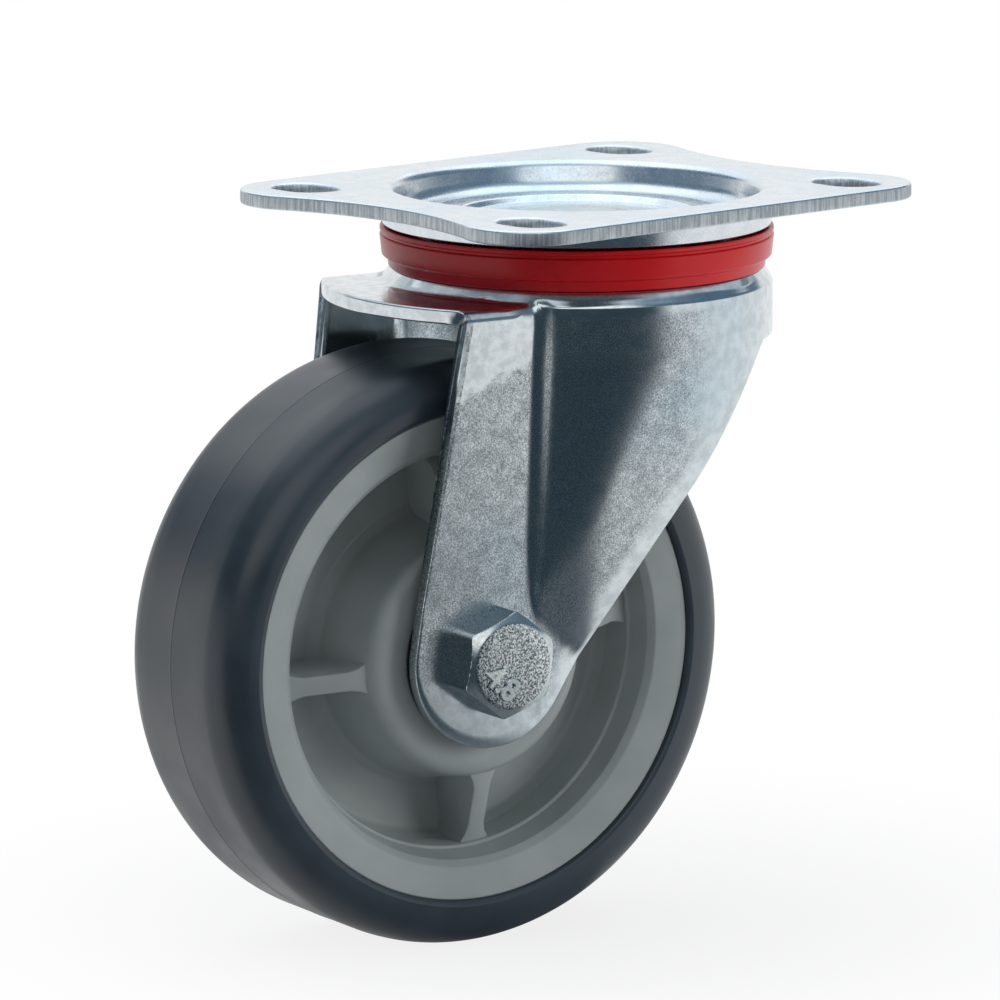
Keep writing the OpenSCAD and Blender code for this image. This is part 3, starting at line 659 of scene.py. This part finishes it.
def skin(p):
    """Distance from points to the fork's outer skin, negative inside it."""
    x, y, z = np.abs(p[:, 0]), p[:, 1], p[:, 2]
    cone = ((z - NECK_FOOT) * 1.5 + (np.hypot(x, y) - NECK_R) * 1.8) / math.hypot(1.5, 1.8)
    top = join(cone, z - SHELF_Z, 0.4)
    leg = np.maximum(x - leg_x(z), y - 8)       # its rear at y = 8 lies inside the flare
    ends = FLARE_FRONT + (FLARE_FOOT - FLARE_FRONT) * soft_step(y, JOG_Y - 3, -10)
    t = np.clip((FLARE_TOP - z) / (FLARE_TOP - ends), 0, 0.999)
    away = y - np.clip(y, JOG_Y * t, 12 * t)
    flare = np.hypot(np.maximum(x - LEG_OUT * t, 0), away) - (1 - t) * HEAD_R
    flare = meet(flare, JOG_Y - y, 2.2)
    sides = join(leg, flare, 0.05 + 1.55 * soft_step(z, AXLE_Z + 3, AXLE_Z + 22))
    edge = BEND - 1.7 * soft_step(y, -28, -21)
    return meet(top, sides, edge)


def shoot(start, direction, far=14.0):
    """Where rays that start inside the skin cross it, by halving the step."""
    low = np.zeros(len(start))
    high = np.full(len(start), far)
    for _ in range(26):
        middle = (low + high) / 2
        inside = skin(start + direction * middle[:, None]) < 0
        low = np.where(inside, middle, low)
        high = np.where(inside, high, middle)
    return start + direction * ((low + high) / 2)[:, None]


# %% [markdown]
# A column of the grid starts at the collar. In front it runs over the shelf to the arched
# edge. At the sides it goes on over the bend and down the leg to the foot or to the rear
# edge, and at the back it is only a short skirt. The columns stand closer at the jog.

# %% Foot and rear edge of a leg, seen from the side
FOOT = np.array((-TRAIL, AXLE_Z))


def touch(start, side):
    """Point where a line from start touches the foot's circle."""
    d = FOOT - np.array(start)
    length = np.hypot(*d)
    a = math.atan2(d[1], d[0]) + side * math.asin(FOOT_R / length)
    reach = math.sqrt(length ** 2 - FOOT_R ** 2)
    return np.array(start) + reach * np.array((math.cos(a), math.sin(a)))


FRONT_Y = -37.3                                 # front edge of a leg at the shelf
front_top = np.array((FRONT_Y, SHELF_Z - SHEET))
rear_top = np.array((REAR_Y, SKIRT_Z - 1))
foot_front, foot_rear = touch(front_top, -1), touch(rear_top, 1)


def foot_z(y):
    """Lower edge of a leg, behind the middle of its foot."""
    on_circle = AXLE_Z - np.sqrt(np.maximum(FOOT_R ** 2 - (y + TRAIL) ** 2, 0))
    share = (y - foot_rear[0]) / (rear_top[0] - foot_rear[0])
    on_line = foot_rear[1] + share * (rear_top[1] - foot_rear[1])
    return np.where(y < foot_rear[0], on_circle, np.minimum(on_line, SKIRT_Z))


# %% Where each column of half the fork bends and ends
ARC_Y, ARC_R, FLAT_X = -5.0, 38.6, LEG_OUT + LEAN_OUT - BEND
A_COLS, B_COLS, REAR_FROM = 14, 30, 36.9        # columns in front and on a leg; degrees where the rear starts
FAN_IN, FAN_Z = 0.6, -17.0                      # where the rays over the head's bend start
columns = []                                    # bend (x, y), start of its rays (inset, z), lower end (y, z)
for x in np.linspace(0, FLAT_X, A_COLS + 1):
    columns.append((x, ARC_Y - math.sqrt(ARC_R ** 2 - x * x), 0, SHELF_Z - BEND, *foot_front))
front_x, front_y = columns[A_COLS][:2]
jog_foot = np.array((JOG_Y, float(foot_z(np.array(JOG_Y)))))
foot_turn = [math.atan2(*(end - FOOT)[::-1]) % (2 * math.pi) for end in (foot_front, jog_foot)]
for share in np.linspace(0, 1, B_COLS + 1)[1:]:
    spread = float(soft_step(FRONT_Y + (JOG_Y - FRONT_Y) * share, -28.5, JOG_Y))
    a = foot_turn[0] + (foot_turn[1] - foot_turn[0]) * share
    columns.append((front_x + (math.sqrt(BEND_R ** 2 - JOG_Y ** 2) - front_x) * spread,
                    front_y + (JOG_Y - front_y) * share, FAN_IN * spread, SHELF_Z - BEND + 2.5 * spread,
                    FOOT[0] + FOOT_R * math.cos(a), FOOT[1] + FOOT_R * math.sin(a)))
side_y = [JOG_Y + 0.45 * i for i in range(1, 15)]
side_y += list(np.linspace(side_y[-1], HEAD_R * math.sin(math.radians(REAR_FROM)), 34)[1:])
SIDE_COLS = len(columns) + len(side_y)
side_a = [math.asin(y / HEAD_R) for y in side_y] + list(np.radians(np.linspace(REAR_FROM, 90, 26)[1:]))
for a in side_a:
    y = HEAD_R * math.sin(a)
    low = float(foot_z(np.array(y))) if len(columns) < SIDE_COLS else SKIRT_Z
    columns.append((BEND_R * math.cos(a), BEND_R * math.sin(a), FAN_IN, FAN_Z, y, low))
COLS, columns = len(columns), np.array(columns)
print("columns in half the fork:", COLS)

# %% Lay the rows of points on the skin
SHELF_ROWS, BEND_ROWS, LEG_ROWS = 14, 8, 40
OUTWARDS, UPWARDS = np.array((1.0, 0.0, 0.0)), np.array((0.0, 0.0, 1.0))
bend_xy, fan_in, fan_z, low_yz = columns[:, :2], columns[:, 2], columns[:, 3], columns[:, 4:]
start_a = np.arctan2(bend_xy[:, 1], bend_xy[:, 0])
radial = np.column_stack((np.cos(start_a), np.sin(start_a)))
at_side = slice(A_COLS + 1, SIDE_COLS)
probe = np.array([(10.0, y, -19.0) for y in bend_xy[at_side, 1]])
half_width = shoot(probe, OUTWARDS, 30.0)[:, 0]
bend_xy[at_side, 0] = np.minimum(bend_xy[at_side, 0], half_width - 0.5)
turn_to = soft_step(bend_xy[:, 1], -28.0, -22.0)[:, None]
bend_out = OUTWARDS[:2] * (1 - turn_to) + radial * turn_to
bend_out /= np.linalg.norm(bend_out, axis=1)[:, None]
fork_rows = []
for share in (np.arange(1, SHELF_ROWS + 1) / SHELF_ROWS) ** 1.5:
    plan = radial * NECK_R * (1 - share) + bend_xy * share
    fork_rows.append(shoot(level_row(plan, -19.4), UPWARDS, 9.0))
fan_start = np.column_stack((bend_xy - bend_out * fan_in[:, None], fan_z))
first = np.arctan2(fork_rows[-1][:, 2] - fan_start[:, 2], fan_in)[:, None]
for share in np.arange(1, BEND_ROWS + 1) / BEND_ROWS:
    a = first * (1 - share)
    fork_rows.append(shoot(fan_start, np.hstack((bend_out * np.cos(a), np.sin(a))), 9.0))
for row in fork_rows[SHELF_ROWS:]:
    row[A_COLS, 1] = ARC_Y - math.sqrt(ARC_R ** 2 - row[A_COLS, 0] ** 2)
bend_end = fork_rows[-1][:, 1:]
rear = (np.arange(COLS) >= SIDE_COLS)[:, None]
ray = np.where(rear, level_row(radial, 0.0), OUTWARDS)
for share in np.arange(1, LEG_ROWS + 1) / LEG_ROWS:
    y, z = (bend_end * (1 - share) + low_yz * share).T
    plan = np.where(rear, radial * 22.0, np.column_stack((np.full(COLS, 10.0), y)))
    fork_rows.append(shoot(np.column_stack((plan, z)), ray, 30.0))
print("fork rows:", len(fork_rows))

# %% Crown of the fork: the part that the seal and the plate hide
CROWN_LOW = CROWN_Z - SHEET
crown_top = [(10.5, CROWN_Z), (15.0, CROWN_Z)]
crown_top += [p for p in arc_points(TRACK_X, TRACK_Z, TRACK_R, 215, 325, 14).tolist() if p[1] < CROWN_Z]
crown_top += [(28.0, CROWN_Z)] + arc_points(30.2, CROWN_Z - 0.8, 0.8, 90, 0, 5).tolist()
crown_top += [(31.0, NECK_FOOT), (NECK_R, NECK_FOOT)]
crown_under = [(10.5, CROWN_LOW), (12.2, CROWN_LOW)]
crown_under += [p for p in arc_points(14.0, -16.6, 2.54, 150, 30, 10).tolist() if p[1] > CROWN_LOW]
crown_under += [(16.3, CROWN_LOW), (18.0, CROWN_LOW)]
under_track = arc_points(TRACK_X, TRACK_Z, TRACK_R + SHEET, 215, 325, 12)
crown_under += [p for p in under_track.tolist() if p[1] < CROWN_LOW]
crown_under += [(27.6, CROWN_LOW)] + arc_points(28.2, CROWN_LOW - 1.6, 1.6, 80, 10, 5).tolist()

# %% Inner skin and sheared edge, from the outer skin's normals


def skin_normal(p):
    steps = 0.02 * np.eye(3)
    slope = np.column_stack([skin(p + step) - skin(p - step) for step in steps])
    return slope / np.linalg.norm(slope, axis=1)[:, None]


skin_grid = np.array(fork_rows)
normals = np.array([skin_normal(row) for row in fork_rows])
normals[:, 0, 0] = 0.0                          # the first column lies in the middle of the fork
inner_grid = skin_grid - normals * SHEET
bend_row, last_row = SHELF_ROWS - 1, len(fork_rows) - 1
fork_points, fork_faces = [], []


def stack(rows):
    """Adds rows of points and gives each its numbers."""
    numbers = []
    for row in rows:
        numbers.append(np.arange(len(fork_points), len(fork_points) + len(row)))
        fork_points.extend(np.asarray(row).tolist())
    return np.array(numbers)


def full_ring(row):
    """Half a row and its mirror image, as a full turn."""
    other = row[::-1].copy()
    other[:, 0] *= -1
    return np.vstack((row, other[1:-1]))


RING = 2 * COLS - 2
ring_angle = np.concatenate((start_a, math.pi - start_a[::-1][1:-1]))
ring_dir = np.column_stack((np.cos(ring_angle), np.sin(ring_angle)))
crown_rows = stack([level_row(ring_dir * r, z) for r, z in crown_top])
under_rows = stack([level_row(ring_dir * r, z) for r, z in crown_under])
outer_rows = stack([full_ring(row) for row in skin_grid])
inner_rows = stack([full_ring(row) for row in inner_grid])


def quads(rows, columns):
    """Quads between rows of numbers, at the given columns."""
    for a, b in zip(rows, rows[1:]):
        for c in columns:
            d = (c + 1) % RING
            fork_faces.append((a[c], a[d], b[d], b[c]))


all_round, sides = range(RING), range(A_COLS, RING - A_COLS)
quads([*crown_rows, *outer_rows[:bend_row + 1]], all_round)
quads([*under_rows, *inner_rows[:bend_row + 1]], all_round)
quads([crown_rows[0], under_rows[0]], all_round)
quads(outer_rows[bend_row:], sides)
quads(inner_rows[bend_row:], sides)

# %% Close the sheared edge all the way round the sheet
edge = [(bend_row, c % RING) for c in range(-A_COLS, A_COLS + 1)]
edge += [(r, A_COLS) for r in range(bend_row + 1, last_row + 1)]
edge += [(last_row, c) for c in range(A_COLS + 1, RING - A_COLS + 1)]
edge += [(r, RING - A_COLS) for r in range(last_row - 1, bend_row, -1)]
edge_out, edge_in = ([rows[r][c] for r, c in edge] for rows in (outer_rows, inner_rows))
rim, rim_in = (np.array([fork_points[i] for i in numbers]) for numbers in (edge_out, edge_in))
along = np.roll(rim, -1, 0) - np.roll(rim, 1, 0)
across = rim - rim_in
across /= np.linalg.norm(across, axis=1)[:, None]
out_dir = np.cross(along, across)
out_dir /= np.linalg.norm(out_dir, axis=1)[:, None]
if (out_dir[A_COLS] @ np.array((0, -1, 0))) < 0:
    out_dir = -out_dir
SOFT = 0.4                                      # radius of the sheared edge
levels = [edge_out]
for base, sign, turns in ((rim, -1, (30, 60, 90)), (rim_in, 1, (90, 60, 30))):
    for a in np.radians(turns):
        row = base + out_dir * SOFT * math.sin(a) + across * sign * SOFT * (1 - math.cos(a))
        levels.append(stack([row])[0])
levels.append(edge_in)
count = len(edge)
for a, b in zip(levels, levels[1:]):
    for c in range(count):
        d = (c + 1) % count
        fork_faces.append((a[c], a[d], b[d], b[c]))
fork = piece_from("fork_pressed", fork_points, fork_faces, in_fork, 60)
print("fork edge:", count, "points")

# %% Drill the axle's holes, and finish the fork


def drill(r, x0, x1, steps=64):
    """A rod along the axle, from x0 to x1."""
    around = np.linspace(0, 2 * math.pi, steps, endpoint=False)
    points = [(x, r * math.cos(a), r * math.sin(a)) for x in (x0, x1) for a in around]
    return piece_from("drill", points, capped(ring_grid(2, steps), 2, steps), on_axle)


HOLE_R = 5.1
cut(fork, [drill(HOLE_R, LEG_IN - 2, LEG_OUT + 2), drill(HOLE_R, -LEG_OUT - 2, -LEG_IN + 2)], 60)
settle(fork, "swivel_fork", "fork_zinc", fork_zinc, "fork")

# %% [markdown]
# ## The dust seal
#
# The red seal is a soft plastic ring that is stretched over the collar's neck. It has a
# lip at the top with a groove below it, a tall band and a narrow foot. A turned profile
# gives it all of these.

# %% Turn the seal
seal = turned("dust_seal_ring", [
    (31.0, NECK_FOOT), (31.95, NECK_FOOT - 0.3, 0.2), (32.15, -11.9, 0.3), (33.1, -11.52, 0.35),
    (33.45, -8.1, 0.2), (33.0, -7.92, 0.15), (33.0, -7.5, 0.15), (33.45, -7.28, 0.15), (33.38, -6.66, 0.2),
    (32.25, -6.64, 0.2), (32.15, -8.2, 0.3), (31.5, -12.0, 0.4), (31.0, -12.5)], in_fork, "Z", 220, 40, 4)
settle(seal, "swivel_fork", "seal_red", seal_red, "dust_seal")

# %% [markdown]
# ## The wheel
#
# The tyre is moulded round the rim, so the two share one surface and the wheel is two
# turned pieces. Where the halves of the mould met, a fine raised line runs round the
# middle of the tread.

# %% Turn the tyre
TYRE_R, TYRE_X, RIM_R, RIM_X = 50.0, 16.9, 41.75, 16.0


def both_sides(half):
    """A profile's half for the bolt side, followed by its mirror image."""
    return list(half) + [(p[0], -p[1], *p[2:]) for p in reversed(half)]


shoulder = arc_points(TYRE_R - 6.5, TYRE_X - 6.5, 6.5, 82, 3, 16).tolist()
half_tyre = [(39.75, 8.0), (RIM_R, 9.0), (RIM_R, RIM_X)]
half_tyre += [(RIM_R + 0.25, TYRE_X - 0.2, 0.3), (RIM_R + 1.0, TYRE_X, 0.3), *shoulder]
half_tyre += [(TYRE_R, 8.0), (TYRE_R, 0.28, 0.05), (TYRE_R + 0.05, 0.14, 0.05)]
tyre = turned("tyre_moulded", both_sides(half_tyre), on_axle, "X", 256, 30, 3)
settle(tyre, "wheel", "tyre_rubber", tyre_rubber, "tyre")

# %% Turn the rim, web and hub
half_wheel = [
    (7.5, 0), (7.5, 8.2), (14.0, 8.2), (14.0, 16.5, 0.5), (20.4, 16.5, 3.0), (23.0, 3.0, 1.8),
    (24.4, 1.5, 0.6), (32.4, 1.5, 1.2), (33.3, 4.0, 0.4), (33.6, 9.9, 0.4), (34.1, 10.2, 0.3),
    (35.2, 13.8, 0.7), (36.3, 14.9, 0.9), (RIM_R - 0.2, 16.0, 0.2), (RIM_R, 15.8, 0.2), (RIM_R, 9.0),
    (39.75, 8.0)]
centre = turned("wheel_centre_moulded", both_sides(half_wheel), on_axle, "X", 256, 40, 5)

# %% [markdown]
# Each side of the web has four ribs. One rib is drawn as a mesh. A Geometry Nodes tree
# then puts a copy at each point of a circle, turned to face outwards, so the number of
# ribs and their first angle stay inputs that anyone can change.

# %% A tree that repeats a piece round the X axis
round_axis = bpy.data.node_groups.new("repeat_round_axis", "GeometryNodeTree")
for label, kind, way in (("Geometry", "Geometry", "INPUT"), ("Count", "Int", "INPUT"),
                         ("First angle", "Float", "INPUT"), ("Axis", "Vector", "INPUT"),
                         ("Material", "Material", "INPUT"), ("Geometry", "Geometry", "OUTPUT")):
    round_axis.interface.new_socket(label, in_out=way, socket_type="NodeSocket" + kind)
gin, gout = round_axis.nodes.new("NodeGroupInput"), round_axis.nodes.new("NodeGroupOutput")
spots = add(round_axis, "GeometryNodePoints", {"Count": gin.outputs["Count"]})
number = add(round_axis, "GeometryNodeInputIndex").outputs[0]
step = maths(round_axis, "DIVIDE", 2 * math.pi, gin.outputs["Count"])
angle = maths(round_axis, "MULTIPLY_ADD", number, step, gin.outputs["First angle"])
spin = add(round_axis, "FunctionNodeAxisAngleToRotation", {"Axis": gin.outputs["Axis"], "Angle": angle})
copies = add(round_axis, "GeometryNodeInstanceOnPoints", {
    "Points": spots.outputs[0], "Instance": gin.outputs["Geometry"], "Rotation": spin.outputs[0]})
real = add(round_axis, "GeometryNodeRealizeInstances", {"Geometry": copies.outputs[0]})
dressed = add(round_axis, "GeometryNodeSetMaterial", {
    "Geometry": real.outputs[0], "Material": gin.outputs["Material"]})
round_axis.links.new(dressed.outputs[0], gout.inputs[0])

# %% Use the tree, and turn what it makes into a plain mesh


def repeated(obj, place, material, count, first=0.0, axis=(1, 0, 0)):
    """Repeats a piece that is drawn round its own axis, then moves the result to its place."""
    modifier = obj.modifiers.new("repeat", "NODES")
    modifier.node_group = round_axis
    values = {"Count": count, "First angle": math.radians(first), "Axis": axis, "Material": material}
    for item in round_axis.interface.items_tree:
        if item.in_out == "INPUT" and item.name in values:
            modifier[item.identifier] = values[item.name]
    mesh = final_mesh(obj)
    obj.modifiers.clear()
    scale = Matrix.Scale(MM, 4)
    mesh.transform(scale @ place @ scale.inverted())
    obj.data = mesh
    soften(mesh, 35)
    return obj


# %% Draw one rib on each side of the web and repeat it four times
RIB = 1.7                                       # half the thickness of a rib at its face


def rib_mesh():
    """Two mirrored ribs whose ends swell where they run into the hub and the rim."""
    points, faces = [], []
    stations = [(20.0, 14.4, 1.5), (20.9, 14.25, 0.9), (22.0, 14.0, 0.35), (23.6, 13.5, 0), (27.0, 12.0, 0),
                (30.4, 10.45, 0), (32.0, 9.75, 0.35), (33.0, 9.35, 0.9), (34.3, 9.0, 1.5)]
    for side in (1, -1):
        base = len(points)
        for r, h, swell in stations:
            w = RIB + swell
            ring = [(1.0, -w - 0.35), (h - 0.6, -w), (h - 0.17, -w + 0.17), (h, -w + 0.6),
                    (h, w - 0.6), (h - 0.17, w - 0.17), (h - 0.6, w), (1.0, w + 0.35)]
            points += [(side * x, r, z) for x, z in ring]
        faces += capped(ring_grid(len(stations), 8, first=base), len(stations), 8, base)
    return piece_from("wheel_ribs", points, faces, Matrix.Identity(4), 35)


ribs = repeated(rib_mesh(), on_axle, wheel_plastic, 4, 6.0)
settle(centre, "wheel", "wheel_plastic", wheel_plastic, "wheel_centre")
settle(ribs, "wheel", "wheel_plastic", wheel_plastic, "wheel_centre")

# %% [markdown]
# ## The axle bolt and its nut
#
# A hexagon head is forged and then turned, so its corners are cut by a shallow cone. The
# grid below follows the head's section outwards along each ray, and stops at whichever
# comes first, the hexagon or the cone.

# %% Shape a hexagon head along rays


def hexagon(name, levels, flats, turn, place, hole=0.01, steps=144, soft=0.14):
    """A hexagonal piece from (x, radius) levels; the radius cuts its corners, as on a lathe."""
    angles = np.linspace(0, 2 * math.pi, steps, endpoint=False)
    off = (angles - math.radians(turn)) % (math.pi / 3) - math.pi / 6
    hexed = np.minimum(flats / 2 / np.cos(off), flats / 2 / math.cos(math.pi / 6) - soft)
    rows = [(x, np.minimum(hexed, cap)) for x, cap in levels]
    rows += [(levels[end][0], np.full(steps, hole)) for end in (-1, 0)]
    points = [np.column_stack((np.full(steps, x), r * np.cos(angles), r * np.sin(angles))) for x, r in rows]
    faces = ring_grid(len(rows), steps, closed_rows=True)
    return piece_from(name, np.vstack(points), faces, place, 30, weld=True)


FLATS = 16.0                                    # across the flats of the head and of the nut
HEAD_X, CAP_R = LEG_OUT + HEAD_H, FLATS * 0.45  # the head's round face, and its radius
CONE = 0.577                                    # slope of the cut corners, 30 degrees
head_levels = [(LEG_OUT, 9.3), (LEG_OUT + 0.15, 9.5)]
head_levels += [(HEAD_X - CONE * (r - CAP_R), r) for r in np.linspace(9.3, CAP_R + 0.25, 12)]
head_levels += [(HEAD_X - 0.04, CAP_R - 0.05), (HEAD_X, CAP_R - 0.45), (HEAD_X, 3.5)]
head = hexagon("bolt_head", head_levels, FLATS, 22.0, on_axle)
shank = turned("bolt_shank", [
    (0, LEG_OUT + 1), (5.0, LEG_OUT + 1), (5.0, -33.4, 0.3), (4.0, -34.4, 0.2), (0, -34.4)], on_axle, "X", 64)
settle(head, "swivel_fork", "bolt_zinc", bolt_zinc, "axle_bolt")

# %% Strength grade that the forging tool leaves raised on the bolt's head
digits = bpy.data.curves.new("grade", "FONT")
digits.body, digits.size, digits.extrude, digits.bevel_depth = "4.8", 5.4, 0.24, 0.15
digits.offset, digits.bevel_resolution, digits.resolution_u = 0.09, 2, 6
digits.align_x, digits.align_y = "CENTER", "CENTER"
drawn = new_object("grade_text", digits)
grade_mesh = final_mesh(drawn)
bpy.data.objects.remove(drawn)
upright = Matrix(((0, 0, 1, 0), (1, 0, 0, 0), (0, 1, 0, 0), (0, 0, 0, 1)))
tilt = Matrix.Rotation(math.radians(-41), 4, "Z")
spot = Matrix.Translation((HEAD_X + 0.02, -2.4, -2.7)) @ upright @ tilt
grade_mesh.transform(Matrix.Scale(MM, 4) @ on_axle @ spot)
grade = new_object("bolt_grade_mark", grade_mesh)
settle(grade, "swivel_fork", "bolt_zinc", bolt_zinc, "axle_bolt")
settle(shank, "swivel_fork", "bolt_zinc", bolt_zinc, "axle_bolt")

# %% Washer, lock nut and its plastic insert
washer = turned("nut_washer_ring", [
    (5.05, -LEG_OUT - 0.02), (10.0, -LEG_OUT - 0.02, 0.3), (10.0, -LEG_OUT - 2, 0.3), (5.05, -LEG_OUT - 2)],
    on_axle, "X", 96)
settle(washer, "swivel_fork", "bolt_zinc", bolt_zinc, "nut_washer")
NUT_IN, NUT_END = -LEG_OUT - 2.0, -LEG_OUT - 12.0
nut_caps = ((0.02, 8.0), (1.3, 9.3), (5.9, 9.3), (7.2, 8.0), (7.25, 7.3))
nut_levels = [(NUT_IN - depth, r) for depth, r in nut_caps]
nut = hexagon("lock_nut_hexagon", nut_levels, FLATS, 30.0, on_axle, hole=5.0)
nut_collar = turned("lock_nut_collar", [
    (6.7, NUT_IN - 6.2), (7.3, NUT_IN - 6.2), (7.3, NUT_END, 0.9), (6.2, NUT_END, 0.1), (6.2, NUT_END + 0.5),
    (6.7, NUT_END + 0.5)], on_axle, "X", 96)
settle(nut, "swivel_fork", "bolt_zinc", bolt_zinc, "axle_nut")
settle(nut_collar, "swivel_fork", "bolt_zinc", bolt_zinc, "axle_nut")

# %% [markdown]
# ## The pieces that keep their CAD shape
#
# The races, rings, cages and balls sit inside the castor and are already the right shape.
# They stay as they are and get their materials.

# %% Dress the remaining CAD nodes
finishes = {
    "kingpin": bolt_zinc, "lower_race": race_steel, "upper_balls": ball_steel, "lower_balls": ball_steel,
    "nut_insert": nylon_insert, "axle_sleeve": race_steel}
for part, material in (("inner_ring", ball_steel), ("outer_ring", ball_steel), ("bearing_balls", ball_steel),
                       ("cage", cage_brass), ("shield", race_steel), ("spacer", race_steel)):
    finishes.update({"left_" + part: material, "right_" + part: material})
for name, material in finishes.items():
    nodes[name].data.materials.clear()
    nodes[name].data.materials.append(material)
print("CAD nodes dressed:", len(finishes))

# %% [markdown]
# ## Floor, light and camera
#
# The photograph is a studio shot on white. A lamp lights what is matt, but metal shows
# what stands around it, so the surround matters as much as the lamps. Here it is white,
# except for a dark room in front of the set, a dim band above the horizon, a soft box
# over the camera and a pale ceiling. The lamps are a large soft box above and behind, a
# low one on the right and a weak one on the left. The floor is pale and keeps a soft
# shadow.

# %% Floor
FLOOR_Z, HALF = -125.46 * MM, 3.0               # just below the tread's raised line; half its width in metres
floor_mesh = bpy.data.meshes.new("floor")
corners = [(x * HALF, y * HALF, FLOOR_Z) for x, y in ((-1, -1), (1, -1), (1, 1), (-1, 1))]
floor_mesh.from_pydata(corners, [], [(0, 1, 2, 3)])
floor = new_object("floor", floor_mesh)

# %% The room in front of the set is dark, and the metal shows it
WHITE, DARK_ROOM = (1, 1, 1, 1), (0.045, 0.07, 0.09, 1)
WALL_TOP, CEILING, SOFT_BOX = (0.13, 0.2, 0.27, 1), (0.5, 0.6, 0.7, 1), (1.3, 1.3, 1.3, 1)
FRONT_HEADING = math.radians(54)


def towards_front(tree, heading):
    """How far a heading points to the front of the set, from 1 down to -1 behind it."""
    level = vector_maths(tree, "MULTIPLY", heading, (1, 1, 0))[0]
    level = vector_maths(tree, "NORMALIZE", level)[0]
    front = (math.sin(FRONT_HEADING), -math.cos(FRONT_HEADING), 0)
    return vector_maths(tree, "DOT_PRODUCT", level, front)["Value"]


def room(tree, heading):
    """Colour of the surround by heading: white, but dark towards the front."""
    return mixed(tree, between(tree, towards_front(tree, heading), 0.6, 0.8), WHITE, DARK_ROOM)


def seen_in_metal(tree, path):
    """1 for a ray that a surface mirrors or lets through, and 0 for any other."""
    return maths(tree, "MAXIMUM", path.outputs["Is Glossy Ray"], path.outputs["Is Transmission Ray"])


# %% Floor paint: pale and diffuse, and lost in white further away
floor_paint, tree, shader, place = new_material("floor_paint", Roughness=0.8)
shader.inputs["Base Color"].default_value = (0.82, 0.82, 0.82, 1)
path = add(tree, "ShaderNodeLightPath")
far = between(tree, vector_maths(tree, "LENGTH", place)["Value"], 0.07, 0.2)
to_camera = times(tree, path.outputs["Is Camera Ray"], between(tree, far, 0.0, 1.0, 0.72, 1.0))
to_metal = times(tree, seen_in_metal(tree, path), far)
glow_colour = mixed(tree, path.outputs["Is Camera Ray"], room(tree, place), WHITE)
glow = add(tree, "ShaderNodeEmission", {"Color": glow_colour})
both = add(tree, "ShaderNodeMixShader", {
    0: maths(tree, "MAXIMUM", to_camera, to_metal), 1: shader.outputs[0], 2: glow.outputs[0]})
tree.links.new(both.outputs[0], tree.nodes["Material Output"].inputs[0])
floor_mesh.materials.append(floor_paint)

# %% World: the same surround, with a soft box over the camera and a pale ceiling
world = bpy.data.worlds.new("studio")
bpy.context.scene.world = world
world.use_nodes = True
wt = world.node_tree
wt.nodes.clear()
path = add(wt, "ShaderNodeLightPath")
heading = add(wt, "ShaderNodeTexCoord").outputs["Generated"]
height = add(wt, "ShaderNodeSeparateXYZ", {0: heading}).outputs["Z"]
front = towards_front(wt, heading)
box = times(wt, between(wt, front, 0.78, 0.9), between(wt, height, 0.2, 0.3))
over = mixed(wt, between(wt, height, 0.6, 0.85), mixed(wt, box, WALL_TOP, SOFT_BOX), CEILING)
lowered = maths(wt, "SUBTRACT", height, between(wt, front, -0.6, -0.95, 0.0, 0.25))
around = mixed(wt, between(wt, lowered, 0.1, 0.24), room(wt, heading), over)
colour = mixed(wt, path.outputs["Is Camera Ray"], around, WHITE)
seen = maths(wt, "MAXIMUM", path.outputs["Is Camera Ray"], seen_in_metal(wt, path))
sky = add(wt, "ShaderNodeBackground", {"Color": colour, "Strength": between(wt, seen, 0.0, 1.0, 0.27, 1.0)})
add(wt, "ShaderNodeOutputWorld", {0: sky.outputs[0]})

# %% Lamps
aim = Vector((-8.74, -9.62, -54.31)) * MM


def view_direction(azimuth, elevation):
    """Unit vector from the castor towards a lamp or camera."""
    a, e = math.radians(azimuth), math.radians(elevation)
    return Vector((math.sin(a) * math.cos(e), -math.cos(a) * math.cos(e), math.sin(e)))


def lamp(name, azimuth, elevation, distance, size, power):
    """A soft square lamp that looks at the castor; azimuth 0 is in front, along -Y."""
    back = view_direction(azimuth, elevation)
    data = bpy.data.lights.new(name, "AREA")
    data.shape, data.size, data.energy = "SQUARE", size, power
    obj = new_object(name, data)
    obj.location = aim + distance * back
    obj.rotation_euler = back.to_track_quat("Z", "Y").to_euler()
    return obj


lamp("top_box", 240, 66, 1.2, 2.0, 11.5)
lamp("right_box", 120, 8, 1.3, 0.8, 9).visible_glossy = False
lamp("left_box", 300, 35, 1.3, 0.7, 1.5).visible_glossy = False

# %% Camera, fitted to the outlines in the photograph
DISTANCE = 1274.94 * MM
camera_data = bpy.data.cameras.new("camera")
camera_data.sensor_width = 36
camera_data.lens = 268.95
camera_data.clip_end = 20
camera = new_object("camera", camera_data)
back = view_direction(47.73, 10.243)
camera.location = aim + back * DISTANCE
camera.rotation_euler = back.to_track_quat("Z", "Y").to_euler()
bpy.context.scene.camera = camera
bpy.context.scene.view_settings.view_transform = "Standard"
